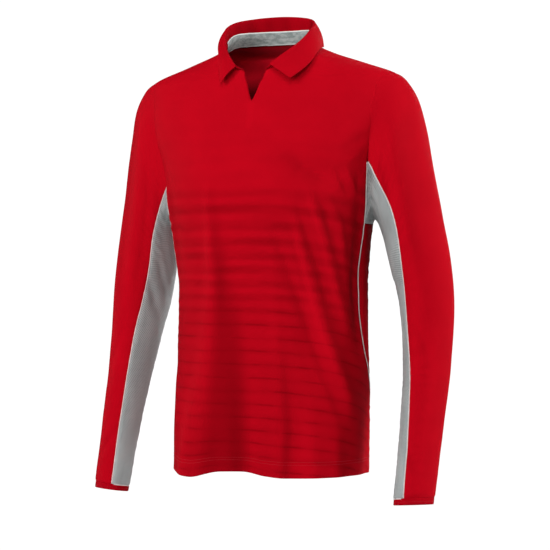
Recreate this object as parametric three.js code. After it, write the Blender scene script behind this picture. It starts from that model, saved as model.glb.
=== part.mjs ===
// Long-sleeved training jersey, filled out as it is worn, with no wearer in it.
// Millimetres. +X is the wearer's left, -Y is the front, +Z is up. The origin is in the middle
// of the base of the neck, level with where the shoulders come out from under the collar.
// Every piece is a wall of cloth: its outer face is a grid on the garment's form, and its inner
// face is the same grid moved in by the cloth's thickness.
import * as THREE from 'three';

// ------------------------------------------------------------------ driving sizes
const CLOTH = 1.6;            // wall of the body and sleeves
const SEAM_GAP = 0.3;         // between two pieces that are sewn together
const COLLAR_CLOTH = 1.6;     // one layer of the collar
const COLLAR_FOLD_R = 1.8;    // radius of the collar's fold, at the middle of the cloth
const COLLAR_BULGE = 4.0;     // how far the fall rounds outwards
const PIPING_WIDTH = 2.2;
const PIPING_THICK = 0.9;
const PIPING_GAP = 0.35;      // between the piping and the cloth it lies on
const TAPE_BELOW = 13;        // neck tape below the neck seam
const TAPE_ABOVE = 9;         // and above it
const TAPE_THICK = 0.9;
const TAPE_GAP = 0.5;         // between the tape and the cloth it lies on
const CUFF_DEPTH = 9;
const HEM_Z = -677;           // level of the hem
const GUSSET_Z = -279;        // lower seam of the underarm gusset
const SHOULDER_Z = -40;       // shoulder point, top of the armhole
const NECK_SIDE_Z = 24;       // where the shoulder seam meets the collar
const NECK_BACK_Z = 36;       // neck seam at the middle of the back
const SLIT_TOP_Z = -37;       // top of the V slit, at the neck seam
const SLIT_FOOT_Z = -87;      // foot of the V slit
const SLIT_OFFSET_DEG = 0.9;  // the slit hangs a little to the wearer's left
const TIP_Z = { l: -182, r: -215 };  // where each gusset ends in a point on the front of the armhole

// levels of the rows of the torso's pieces
const LEVELS_LOW = 8;         // equal steps from hem to gusset seam
const LEVELS_ARMHOLE = [-252, -215, -182, -150, -118, -87, -66, -52, -45, -41.5, -40];
const LEVELS_SHOULDER = [-37, -29, -18, -6, 3, 11, 24];
const NECK_BACK_ROWS = 2;     // rows of the back above the shoulder seams
const FRONT_COLS = 7;         // columns in half of the front
const BACK_COLS = 7;          // columns in half of the back
const SIDE_COLS = 4;          // columns in a side panel, and along the gusset's lower seam

// ------------------------------------------------------------------ tables
const table = (columns, rows) => {
  const names = columns.split(' ');
  return rows.map((r) => Object.fromEntries(names.map((n, i) => [n, r[i]])));
};

// sections of the torso: level, half width, depth to the front and to the back of the centre,
// centre, and how square the front and back halves are (2 is an ellipse)
const TORSO = table('z halfWidth front back centreY frontSquare backSquare', [
  [60, 64, 58, 62, 8, 2.0, 2.0],
  [40, 68, 66, 65, 9, 2.0, 2.0],
  [24, 72, 77, 62, 14, 2.0, 2.0],
  [10, 77, 86, 59, 20, 2.0, 2.0],
  [0, 96.5, 97, 57, 30, 2.0, 2.0],
  [-20, 153, 101, 67, 27, 2.0, 2.0],
  [-40, 206, 98, 82, 18, 2.0, 2.0],
  [-50, 219, 99.5, 86, 16, 2.0, 2.0],
  [-70, 222, 102, 94, 12, 2.0, 2.05],
  [-100, 216, 107, 103, 8, 2.0, 2.1],
  [-140, 204, 116, 110, 5, 2.0, 2.15],
  [-200, 181, 124, 113, 4, 2.05, 2.2],
  [-240, 174, 123, 111, 4, 2.1, 2.2],
  [-279, 167, 120, 107, 6, 2.1, 2.2],
  [-330, 161, 116, 100, 8, 2.1, 2.2],
  [-380, 158, 112, 95, 9, 2.1, 2.15],
  [-440, 159, 109, 94, 8, 2.1, 2.1],
  [-500, 161, 108, 98, 6, 2.1, 2.1],
  [-560, 163, 108, 104, 3, 2.1, 2.15],
  [-620, 164, 109, 110, 0, 2.1, 2.2],
  [-700, 164, 110, 113, -2, 2.1, 2.2],
]);
// side panel: level, and the angles round the torso of its front and rear seams
// (0 is the middle of the front, 90 the side, 180 the middle of the back)
const SIDE = table('z front rear', [
  [-279, 78.5, 102], [-333, 77.4, 108], [-377, 77.4, 114], [-413, 79.6, 119],
  [-454, 84, 124], [-482, 89, 128], [-522, 102, 134], [-560, 112, 138],
  [-620, 119, 142], [-700, 124, 144],
]);
// armhole: level, and the angles of its front and rear seams
const ARMHOLE = table('z front rear', [
  [-40, 90, 90], [-41.5, 80, 100], [-45, 71, 109], [-53, 62.5, 117], [-65, 59, 120.5],
  [-90, 58.2, 121], [-120, 61.2, 118.5], [-150, 64.6, 115.5], [-175, 68.5, 112], [-200, 73.2, 107.5],
  [-240, 76.6, 103.5], [-279, 78.5, 102],
]);
// neckline: level and angle, for the slit and the front, and for the back
// how much further forward the front seams lie on the wearer's right, where the cloth is drawn
// round the body
const FORWARD_R = table('z shift', [
  [-40, 0], [-120, 0], [-170, 3.5], [-215, 7.5], [-250, 9.5], [-279, 9.5], [-333, 7], [-400, 3],
  [-470, 0], [-700, 0],
]);
// and on the wearer's left
const FORWARD_L = table('z shift', [
  [-40, 0], [-225, 0], [-262, -1.6], [-282, -2.7], [-300, -3.8], [-346, -4.7], [-384, -4.6],
  [-410, -2.9], [-440, -0.5], [-470, 1.6], [-500, 3.6], [-540, 4.2], [-600, 3], [-700, 0],
]);
const NECK_FRONT = table('z angle', [
  [-87, 0], [-74, 1.4], [-60, 2.5], [-48, 3.9], [-37, 5.3], [-30, 10.5], [-22, 18.5],
  [-10, 34], [6, 58], [16, 76], [24, 90],
]);
const NECK_BACK = table('z angle', [[24, 90], [29, 108], [33, 132], [35.3, 156], [36, 180]]);
// how far the hem rides up at each angle, negative on the wearer's right
const HEM = table('angle rise', [
  [-180, 0], [-75, 2], [-35, -2], [-14, 10], [-3, 11], [9, 5], [22, 2.5], [42, 3.5], [64, 4.5], [88, 3.5], [120, 0], [180, 0],
]);
// large soft folds on the torso: from an angle and level to another, spread, and height
// (troughs are negative)
const FOLDS = table('angle0 z0 angle1 z1 spread height', [
  [36, -240, 62, -541, 13, 4.0],
  [44, -247, 60, -406, 9, 2.4],
  [50, -300, 76, -600, 14, -2.6],
  [-13, -290, -9, -690, 26, -5.5],
  [-39, -260, -43, -690, 24, 3.5],
  [13, -400, 19, -690, 26, 3.5],
  [62, -186, 40, -222, 9, -2.6],
  [-64, -215, -44, -250, 10, -2.2],
  [128, -230, 150, -560, 18, 3.6],
  [-126, -250, -156, -520, 20, 3.2],
  [172, -380, 178, -690, 26, -4.5],
  [-150, -480, -158, -690, 22, 3.4],
]);
// sleeve sections, from the shoulder to the cuff, for the wearer's left: the outer and inner
// ends of each section, the middle and half depth of it front to back, how far the outer end
// stands back (skew), how far the front is lifted, and the angles round it of the under-sleeve's
// seams (0 is the outer end, 90 the front, 180 the inner end)
const SLEEVE = table('outerX outerZ innerX innerZ centreY halfDepth skew lift seamLeft seamRight seamRear', [
  [223, -51, 172.5, -270, 12, 58, 0, 0, 113, 134, 243],
  [239, -78, 179, -280, 18, 62, 0, 0, 115, 136.5, 243],
  [250, -125, 185, -302, 26, 64, 0, 0, 110.5, 133, 244],
  [261, -190, 190, -330, 32, 63, -2, 0, 105, 128, 245],
  [275, -265, 195.5, -362, 38, 61, -4, 0, 109, 126, 247],
  [287.5, -335, 201, -386, 42, 59, -5, 0, 117, 124, 248],
  [293, -395, 206, -410, 41, 57, -5, 0, 121, 120.5, 249],
  [294, -448, 213.5, -452, 31.5, 52, -2, 0, 122, 116.5, 250],
  [293, -510, 220.5, -511, 14, 46.5, 1, 1, 117, 115.5, 250],
  [291.2, -568, 224.4, -572, -8, 42, 4, 2, 112, 117, 250],
  [289, -627, 226.9, -633, -31, 38.5, 6, 4, 109, 119.5, 250],
  [287.4, -680, 226.8, -686, -51, 35.2, 6.5, 5, 106, 120, 250],
  [286.4, -709, 227.4, -712, -60.5, 33.8, 6.5, 5, 105, 120, 250],
]);
const SLEEVE_STEPS = [2, 1, 1, 1, 1, 1, 1, 1, 1, 1, 1, 1, 1];   // rows between sections, armhole first
// soft folds on the sleeves: side, angle and row (0 armhole, 13 cuff) to another, spread, height
const SLEEVE_FOLDS = table('side angle0 row0 angle1 row1 spread height', [
  [1, 62, 1.2, 74, 6.5, 11, -2.4],
  [1, 150, 5.6, 205, 7.0, 9, -2.2],
  [1, 160, 7.6, 215, 8.3, 9, -1.8],
  [-1, 52, 2.0, 66, 6.8, 12, -2.6],
  [-1, 155, 5.8, 210, 6.8, 9, -2.0],
  [-1, 158, 7.9, 208, 8.8, 9, -1.8],
]);
// collar, from the wearer's right front end round the back to the left one: a point of the
// fold and a point of the free edge
const COLLAR = table('foldX foldY foldZ edgeX edgeY edgeZ', [
  [-28, -84, -32, -49, -93, -57],
  [-44, -71, -14, -55, -85, -41],
  [-60, -46, 2, -61, -74, -24],
  [-70, -28, 16, -70, -52, -7],
  [-78, -5, 37, -85, -14, 4],
  [-76, 30, 54, -87, 38, 9],
  [-52, 62, 64, -57, 77, 17],
  [0, 76, 67, 0, 93, 20],
  [46, 63, 59, 55, 74, 16],
  [63, 32, 46, 78, 34, 10],
  [67.5, 4, 34, 86, 5, 6],
  [67, -20, 20, 92.5, -28.5, -3.5],
  [60, -45, 3.5, 93, -65.5, -24.5],
  [47, -70, -14, 83, -82, -40],
  [31, -84, -30, 68, -95, -54],
]);
// how far the cloth goes on in the body's direction past the armhole, for the upper sleeve and
// for the gusset (0 leaves straight for the sleeve)
const HOLD_RED = 0.35;
const HOLD_GREY = 0.85;
const TAPE_END_ANGLE = 62;    // the neck tape ends a little in front of the shoulder seams

// ------------------------------------------------------------------ curves
// monotone cubic through a table's column
function curve(rows, xName, yName) {
  const pts = rows.map((r) => [r[xName], r[yName]]).sort((p, q) => p[0] - q[0]);
  const x = pts.map((p) => p[0]), y = pts.map((p) => p[1]), n = x.length;
  const h = [], d = [], m = new Array(n).fill(0);
  for (let i = 0; i < n - 1; i++) { h.push(x[i + 1] - x[i]); d.push((y[i + 1] - y[i]) / h[i]); }
  for (let i = 1; i < n - 1; i++) {
    if (d[i - 1] * d[i] > 0) {
      const w1 = 2 * h[i] + h[i - 1], w2 = h[i] + 2 * h[i - 1];
      m[i] = (w1 + w2) / (w1 / d[i - 1] + w2 / d[i]);
    }
  }
  m[0] = d[0]; m[n - 1] = d[n - 2];
  return (v) => {
    const c = Math.min(Math.max(v, x[0]), x[n - 1]);
    let i = 0;
    while (i < n - 2 && c > x[i + 1]) i++;
    const t = (c - x[i]) / h[i];
    return (1 + 2 * t) * (1 - t) ** 2 * y[i] + t * (1 - t) ** 2 * h[i] * m[i]
      + t * t * (3 - 2 * t) * y[i + 1] + t * t * (t - 1) * h[i] * m[i + 1];
  };
}
const torsoCurve = Object.fromEntries(['halfWidth', 'front', 'back', 'centreY', 'frontSquare', 'backSquare']
  .map((n) => [n, curve(TORSO, 'z', n)]));
const sideFront = curve(SIDE, 'z', 'front'), sideRear = curve(SIDE, 'z', 'rear');
const holeFront = curve(ARMHOLE, 'z', 'front'), holeRear = curve(ARMHOLE, 'z', 'rear');
const neckFrontCurve = curve(NECK_FRONT, 'z', 'angle'), neckBackZ = curve(NECK_BACK, 'angle', 'z');
const hemRise = curve(HEM, 'angle', 'rise');
const forwardRight = curve(FORWARD_R, 'z', 'shift'), forwardLeft = curve(FORWARD_L, 'z', 'shift');
const frontSeam = (z, sign = 1) => (z <= GUSSET_Z ? sideFront(z) : z <= SHOULDER_Z ? holeFront(z) : 90)
  - (sign < 0 ? forwardRight(z) : forwardLeft(z));
const rearSeam = (z) => (z <= GUSSET_Z ? sideRear(z) : z <= SHOULDER_Z ? holeRear(z) : 90);
const neckFront = (z) => (z <= SLIT_FOOT_Z ? 0 : neckFrontCurve(z));
const slitShift = (z) => SLIT_OFFSET_DEG * Math.min(1, Math.max(0, (-22 - z) / 15));

// ------------------------------------------------------------------ the torso's form
const V = (x, y, z) => new THREE.Vector3(x, y, z);
const RAD = Math.PI / 180;
function plainBody(angle, z) {
  const c = torsoCurve, s = Math.sin(angle * RAD), k = Math.cos(angle * RAD), front = k >= 0;
  const n = front ? c.frontSquare(z) : c.backSquare(z), depth = front ? c.front(z) : c.back(z);
  const rise = hemRise(angle) * Math.min(1, Math.max(0, (-540 - z) / (-540 - HEM_Z))) ** 2;
  return V(c.halfWidth(z) * Math.sign(s) * Math.abs(s) ** (2 / n),
    c.centreY(z) - depth * Math.sign(k) * Math.abs(k) ** (2 / n), z + rise);
}
function bodyNormal(angle, z) {
  const a = body(angle + 0.5, z).sub(body(angle - 0.5, z));
  const b = body(angle, z + 1).sub(body(angle, z - 1));
  return a.cross(b).normalize();
}
// distance from a point to a fold's line on the unrolled cloth, and how far along it
function along(ax, ay, bx, by, px, py) {
  const dx = bx - ax, dy = by - ay, len2 = dx * dx + dy * dy;
  const t = ((px - ax) * dx + (py - ay) * dy) / len2, c = Math.min(1, Math.max(0, t));
  return [Math.hypot(px - ax - c * dx, py - ay - c * dy), c];
}
function foldHeight(folds, u, v, u0, v0, u1, v1) {
  let h = 0;
  for (const f of folds) {
    const [dist, t] = along(u0(f), v0(f), u1(f), v1(f), u(f), v);
    const taper = Math.min(1, t / 0.22, (1 - t) / 0.22);
    const ends = 0.15 + 0.85 * taper * taper * (3 - 2 * taper);
    h += f.height * ends * Math.exp(-((dist / f.spread) ** 2));
  }
  return h;
}
const GIRTH_R = 140;          // mean radius, to measure angles as lengths
function body(angle, z) {
  const p = plainBody(angle, z);
  const a = plainBody(angle + 0.5, z).sub(plainBody(angle - 0.5, z));
  const b = plainBody(angle, z + 1).sub(plainBody(angle, z - 1));
  const n = a.cross(b);
  if (n.lengthSq() < 1e-9) return p;
  n.normalize();
  // the angle is taken the short way round from each fold
  const near = (f) => angle - 360 * Math.round((angle - (f.angle0 + f.angle1) / 2) / 360);
  const h = foldHeight(FOLDS, (f) => near(f) * RAD * GIRTH_R, z,
    (f) => f.angle0 * RAD * GIRTH_R, (f) => f.z0, (f) => f.angle1 * RAD * GIRTH_R, (f) => f.z1);
  return p.addScaledVector(n, h);
}

// ------------------------------------------------------------------ surfaces and walls
// a surface is a list of points and a list of faces (three or four point numbers, seen from
// outside in counter-clockwise order); points in the same place are one point
const key = (p) => `${Math.round(p.x * 2000)},${Math.round(p.y * 2000)},${Math.round(p.z * 2000)}`;
class Surface {
  constructor() { this.points = []; this.faces = []; this.index = new Map(); }
  point(p) {
    const k = key(p);
    if (!this.index.has(k)) { this.index.set(k, this.points.length); this.points.push(p.clone()); }
    return this.index.get(k);
  }
  // grid[row][column]; flip turns the faces over, and mirrored splits them along their other
  // diagonal, so that the wearer's right is faceted as the left is
  addGrid(grid, flip = false, mirrored = false) {
    for (let i = 0; i + 1 < grid.length; i++) {
      for (let j = 0; j + 1 < grid[i].length; j++) {
        const q = [grid[i][j], grid[i][j + 1], grid[i + 1][j + 1], grid[i + 1][j]].map((p) => this.point(p));
        if (mirrored) q.push(q.shift());
        const face = q.filter((v, k) => q.indexOf(v) === k);
        if (face.length >= 3) this.faces.push(flip ? face.reverse() : face);
      }
    }
    return this;
  }
}
const faceNormal = (s, f) => {
  const p = f.map((i) => s.points[i]);
  const n = p[2].clone().sub(p[0]).cross((p[3] || p[0]).clone().sub(p[1]));
  if (p.length === 3) n.copy(p[1].clone().sub(p[0]).cross(p[2].clone().sub(p[0])));
  return n;
};
// outward directions shared by all the pieces that are sewn together, by place
function sharedNormals(surfaces) {
  const sum = new Map();
  for (const s of surfaces) {
    for (const f of s.faces) {
      const n = faceNormal(s, f).normalize();
      for (const i of f) {
        const k = key(s.points[i]);
        if (!sum.has(k)) sum.set(k, V(0, 0, 0));
        sum.get(k).add(n);
      }
    }
  }
  for (const n of sum.values()) n.normalize();
  return (p) => sum.get(key(p)).clone();
}
// closed wall: the surface's points, drawn back from its free edges by half a seam gap, and the
// same points moved in by the thickness
function wall(s, normalAt, thick, back = SEAM_GAP / 2) {
  const edges = new Map();
  for (const f of s.faces) {
    f.forEach((a, i) => edges.set(`${a}_${f[(i + 1) % f.length]}`, [a, f[(i + 1) % f.length], f]));
  }
  const rim = [...edges.values()].filter(([a, b]) => !edges.has(`${b}_${a}`));
  const pull = s.points.map(() => []);
  for (const [a, b, f] of rim) {
    const dir = s.points[b].clone().sub(s.points[a]).normalize();
    const inward = faceNormal(s, f).normalize().cross(dir).normalize();
    pull[a].push(inward); pull[b].push(inward);
  }
  const outer = s.points.map((p, i) => {
    const q = p.clone();
    if (pull[i].length) {
      const m = pull[i].reduce((t, d) => t.add(d), V(0, 0, 0)).normalize();
      q.addScaledVector(m, back / Math.max(0.5, m.dot(pull[i][0])));
    }
    return q;
  });
  const inner = s.points.map((p, i) => outer[i].clone().addScaledVector(normalAt(p), -thick));
  const pos = [...outer, ...inner], n = outer.length, tri = [];
  const quad = (a, b, c, d) => tri.push(a, b, c, a, c, d);
  for (const f of s.faces) {
    if (f.length === 4) { quad(f[0], f[1], f[2], f[3]); quad(n + f[3], n + f[2], n + f[1], n + f[0]); }
    else { tri.push(f[0], f[1], f[2], n + f[2], n + f[1], n + f[0]); }
  }
  // neighbours split the same rim quad along the same diagonal
  for (const [a, b] of rim) {
    if (key(s.points[a]) < key(s.points[b])) tri.push(b, a, n + b, a, n + a, n + b);
    else quad(b, a, n + a, n + b);
  }
  return geometry(pos, tri);
}
function geometry(pos, tri) {
  const g = new THREE.BufferGeometry();
  g.setAttribute('position', new THREE.Float32BufferAttribute(pos.flatMap((p) => [p.x, p.y, p.z]), 3));
  g.setIndex(tri);
  g.computeVertexNormals();
  return g;
}
// closed body through rings of points (each ring is a loop), with flat ends; turned says
// between which rings the faces are split along their other diagonal
function loft(rings, turned = () => false) {
  const pos = rings.flat(), n = rings[0].length, tri = [];
  for (let i = 0; i + 1 < rings.length; i++) {
    for (let j = 0; j < n; j++) {
      const a = i * n + j, b = i * n + (j + 1) % n;
      if (turned(i)) tri.push(a, b, a + n, b, b + n, a + n);
      else tri.push(a, b, b + n, a, b + n, a + n);
    }
  }
  const end = (rows, flip) => {
    // a folded strip's end is closed between its two faces
    for (let j = 0; j + 1 < n / 2; j++) {
      const q = [rows + j, rows + j + 1, rows + n - 2 - j, rows + n - 1 - j];
      if (flip) tri.push(q[0], q[1], q[2], q[0], q[2], q[3]);
      else tri.push(q[2], q[1], q[0], q[3], q[2], q[0]);
    }
  };
  end(0, false);
  end((rings.length - 1) * n, true);
  return geometry(pos, tri);
}

// ------------------------------------------------------------------ torso pieces
const levels = [];
for (let i = 0; i <= LEVELS_LOW; i++) levels.push(HEM_Z + (GUSSET_Z - HEM_Z) * i / LEVELS_LOW);
levels.push(...LEVELS_ARMHOLE, ...LEVELS_SHOULDER);
const GUSSET_ROW = LEVELS_LOW;
const SHOULDER_ROW = LEVELS_LOW + LEVELS_ARMHOLE.length;

function strip(zs, from, to, cols) {
  return zs.map((z) => Array.from({ length: cols + 1 }, (_, j) => {
    const a = from(z), b = to(z);
    return body(a + (b - a) * j / cols, z);
  }));
}
// the front and the back are each made as two walls that meet level with the gusset's lower
// seam, so that each bends round less of the space inside
const lowerLevels = levels.slice(0, GUSSET_ROW + 1), upperLevels = levels.slice(GUSSET_ROW);
const frontWall = (zs) => new Surface()
  .addGrid(strip(zs, (z) => neckFront(z) + slitShift(z), frontSeam, FRONT_COLS))
  .addGrid(strip(zs, (z) => -frontSeam(z, -1), (z) => -neckFront(z) + slitShift(z), FRONT_COLS), false, true);
// above the shoulder seams the back's rows rise to the neckline
const neckRows = (sign) => Array.from({ length: NECK_BACK_ROWS + 1 }, (_, r) => Array.from({ length: BACK_COLS + 1 }, (_, j) => {
  const a = 90 + 90 * j / BACK_COLS;
  return body(sign * a, NECK_SIDE_Z + (neckBackZ(a) - NECK_SIDE_Z) * r / NECK_BACK_ROWS);
}));
const backWall = (zs, neck = false) => {
  const l = strip(zs, rearSeam, () => 180, BACK_COLS), r = strip(zs, () => -180, (z) => -rearSeam(z), BACK_COLS);
  if (neck) {
    l.push(...neckRows(1).slice(1));
    r.push(...neckRows(-1).slice(1).map((row) => row.reverse()));
  }
  return new Surface().addGrid(l).addGrid(r, false, true);
};
const front = { upper: frontWall(upperLevels), lower: frontWall(lowerLevels) };
const back = { upper: backWall(upperLevels, true), lower: backWall(lowerLevels) };
const side = {
  l: new Surface().addGrid(strip(levels.slice(0, GUSSET_ROW + 1), frontSeam, rearSeam, SIDE_COLS)),
  r: new Surface().addGrid(strip(levels.slice(0, GUSSET_ROW + 1), (z) => -rearSeam(z), (z) => -frontSeam(z, -1), SIDE_COLS), false, true),
};

// ------------------------------------------------------------------ sleeves
// points round the armhole, from the shoulder point down the front, along the gusset's lower
// seam and up the back
function armhole(sign) {
  const zs = levels.slice(GUSSET_ROW, SHOULDER_ROW + 1).reverse();
  const at = (angle, z) => body(sign * angle, z);
  const down = zs.map((z) => at(frontSeam(z, sign), z));
  const along_ = [];
  const a = frontSeam(GUSSET_Z, sign), b = rearSeam(GUSSET_Z);
  for (let j = 1; j < SIDE_COLS; j++) along_.push(at(a + (b - a) * j / SIDE_COLS, GUSSET_Z));
  const up = zs.map((z) => at(rearSeam(z), z)).reverse().slice(0, -1);
  return { loop: [...down, ...along_, ...up], zs };
}
function sleeveSection(r, angle, sign) {
  const c = Math.cos(angle * RAD), s = Math.sin(angle * RAD);
  return V(sign * ((r.outerX + r.innerX) / 2 + (r.outerX - r.innerX) / 2 * c),
    r.centreY - r.halfDepth * s + r.skew * c,
    (r.outerZ + r.innerZ) / 2 + (r.outerZ - r.innerZ) / 2 * c + r.lift * s);
}
function sleeveGrid(name, sign) {
  const { loop, zs } = armhole(sign), n = zs.length, C = loop.length;
  const tip = zs.indexOf(TIP_Z[name]), corner1 = n - 1, corner2 = corner1 + SIDE_COLS, tipRear = corner2 + (n - 1 - tip);
  const run = [0];
  for (let i = 1; i <= C; i++) run.push(run[i - 1] + loop[i % C].distanceTo(loop[i - 1]));
  const angles = (r) => {
    const f = sign > 0 ? r.seamLeft : r.seamRight, b = r.seamRear;
    const c1 = f + (180 - f) * 0.52, c2 = b - (b - 180) * 0.52;
    const stops = [[0, 0], [tip, f], [corner1, c1], [corner2, c2], [tipRear, b], [C, 360]];
    return loop.map((_, i) => {
      const k = stops.findIndex((q, m) => m > 0 && i <= q[0]);
      const [i0, a0] = stops[k - 1], [i1, a1] = stops[k];
      return a0 + (a1 - a0) * (run[i] - run[i0]) / (run[i1] - run[i0]);
    });
  };
  const allAngles = [angles(SLEEVE[0]), ...SLEEVE.map(angles)];
  const rings = [loop, ...SLEEVE.map((r, k) => allAngles[k + 1].map((a) => sleeveSection(r, a, sign)))];
  // non-uniform Catmull-Rom along each column, with one set of knots
  const knots = [0];
  for (let k = 1; k < rings.length; k++) {
    const mean = rings[k].reduce((t, p, i) => t + p.distanceTo(rings[k - 1][i]), 0) / C;
    knots.push(knots[k - 1] + Math.sqrt(mean));
  }
  const K = rings.length;
  const slope = (k, i) => rings[k + 1][i].clone().sub(rings[k][i]).divideScalar(knots[k + 1] - knots[k]);
  const tangent = rings.map((ring, k) => ring.map((_, i) => {
    if (k === 0 || k === K - 1) return null;
    const h0 = knots[k] - knots[k - 1], h1 = knots[k + 1] - knots[k];
    return slope(k - 1, i).multiplyScalar(h1).addScaledVector(slope(k, i), h0).divideScalar(h0 + h1);
  }));
  // at the armhole the sleeve leaves in the direction in which the body's cloth was going
  tangent[0] = rings[0].map((p, i) => {
    const straight = slope(0, i).multiplyScalar(1.5).addScaledVector(tangent[1][i], -0.5);
    const size = slope(0, i).length();
    const upwards = (w) => (w <= 0 ? 0 : w);
    let angle, z, round, up, hold;
    if (i <= corner1) { z = zs[i]; angle = sign * frontSeam(z, sign); round = sign; }
    else if (i < corner2) { z = GUSSET_Z; angle = sign * (frontSeam(z, sign) + (rearSeam(z) - frontSeam(z, sign)) * (i - corner1) / SIDE_COLS); round = 0; }
    else { z = zs[C - i] ?? SHOULDER_Z; angle = sign * rearSeam(z); round = -sign; }
    const across = body(angle + 0.5, z).sub(body(angle - 0.5, z)).normalize().multiplyScalar(round);
    const rise = body(angle, z + 1).sub(body(angle, z - 1)).normalize();
    if (i <= tip || i >= tipRear) { up = 0; hold = HOLD_RED * Math.min(1, Math.min(i, C - i) / 3); }
    else if (i <= corner1) { up = (i - tip) / (corner1 - tip); hold = HOLD_GREY; }
    else if (i < corner2) { up = 1; hold = HOLD_GREY; }
    else { up = (tipRear - i) / (tipRear - corner2); hold = HOLD_GREY; }
    const lead = across.multiplyScalar(1 - 0.5 * upwards(up)).addScaledVector(rise, 0.5 * upwards(up) + (round ? 0 : 0.5)).normalize().multiplyScalar(size);
    return straight.lerp(lead, hold);
  });
  tangent[K - 1] = rings[0].map((_, i) => slope(K - 2, i).multiplyScalar(1.5).addScaledVector(tangent[K - 2][i], -0.5));
  const at = (row, i) => {
    const k = Math.min(K - 2, Math.floor(row)), t = row - k, h = knots[k + 1] - knots[k];
    return rings[k][i].clone().multiplyScalar((1 + 2 * t) * (1 - t) ** 2)
      .addScaledVector(tangent[k][i], t * (1 - t) ** 2 * h)
      .addScaledVector(rings[k + 1][i], t * t * (3 - 2 * t))
      .addScaledVector(tangent[k + 1][i], t * t * (t - 1) * h);
  };
  const rowsAt = [0];
  SLEEVE_STEPS.forEach((m, k) => { for (let q = 1; q <= m; q++) rowsAt.push(k + q / m); });
  // the last row but one is where the cuff band begins
  const lastStep = at(K - 1, 0).distanceTo(at(K - 2, 0));
  rowsAt.splice(rowsAt.length - 1, 0, K - 1 - CUFF_DEPTH / lastStep);
  const folds = SLEEVE_FOLDS.filter((f) => f.side === sign);
  const grid = rowsAt.map((row) => loop.map((_, i) => {
    const p = at(row, i);
    if (row === 0) return p;
    const ahead = at(Math.min(K - 1, row + 0.05), i).sub(at(Math.max(0, row - 0.05), i));
    const round = at(row, (i + 1) % C).sub(at(row, (i + C - 1) % C));
    const nrm = ahead.cross(round).multiplyScalar(-sign);
    if (nrm.lengthSq() < 1e-9) return p;
    const k = Math.min(K - 2, Math.floor(row)), t = row - k;
    const angle = allAngles[k][i] * (1 - t) + allAngles[k + 1][i] * t;
    const h = foldHeight(folds, () => angle * RAD * 48, row * 50,
      (f) => f.angle0 * RAD * 48, (f) => f.row0 * 50, (f) => f.angle1 * RAD * 48, (f) => f.row1 * 50);
    return p.addScaledVector(nrm.normalize(), h * Math.min(1, row / 1.5));
  }));
  return { grid, tip, corner1, corner2, tipRear, C, cuffRow: rowsAt.length - 2 };
}
const columns = (grid, from, to) => grid.map((row) => {
  const out = [];
  for (let i = from; i <= to; i++) out.push(row[i % row.length]);
  return out;
});
const ELBOW_ROW = 8;          // row of the sleeve's grid at the elbow
const sleeves = {};
for (const [name, sign] of [['l', 1], ['r', -1]]) {
  const s = sleeveGrid(name, sign), flip = sign < 0;
  const upper = s.grid.slice(0, s.cuffRow + 1), end = s.grid.slice(s.cuffRow);
  // two walls, that meet at the elbow
  s.upper = new Surface().addGrid(columns(upper.slice(0, ELBOW_ROW + 1), s.tipRear, s.C + s.tip), flip);
  s.lower = new Surface().addGrid(columns(upper.slice(ELBOW_ROW), s.tipRear, s.C + s.tip), flip);
  s.under = new Surface().addGrid(columns(upper, s.tip, s.tipRear), flip);
  s.cuff = new Surface().addGrid(columns(end, 0, s.C), flip);
  sleeves[name] = s;
}

const cloth = [front.upper, front.lower, back.upper, back.lower, side.l, side.r,
  ...['l', 'r'].flatMap((n) => [sleeves[n].upper, sleeves[n].lower, sleeves[n].under, sleeves[n].cuff])];
const normalAt = sharedNormals(cloth);

// ------------------------------------------------------------------ collar
// the neck seam's points from the wearer's right slit top round the back to the left one, each
// with the direction that leads on past the cloth's edge
function neckSeam() {
  const left = [];
  const zf = [SLIT_TOP_Z, ...LEVELS_SHOULDER.slice(1)];
  for (const sign of [1, -1]) {
    const half = [];
    for (const z of zf) half.push({ p: body(sign * neckFront(z) + slitShift(z), z), angle: neckFront(z) });
    for (let j = 1; j <= BACK_COLS; j++) {
      const a = 90 + 90 * j / BACK_COLS;
      half.push({ p: body(sign * a, neckBackZ(a)), angle: a });
    }
    left.push(half);
  }
  const [l, r] = left;
  const seam = [...r, ...l.slice(0, -1).reverse()];
  return seam.map((s, i) => {
    const before = seam[Math.max(0, i - 1)].p, after = seam[Math.min(seam.length - 1, i + 1)].p;
    const run = after.clone().sub(before).normalize(), n = normalAt(s.p);
    const past = run.clone().cross(n).normalize();
    return { ...s, n, run, past };
  });
}
const seam = neckSeam();
const seamRun = [0];
for (let i = 1; i < seam.length; i++) seamRun.push(seamRun[i - 1] + seam[i].p.distanceTo(seam[i - 1].p));
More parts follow.
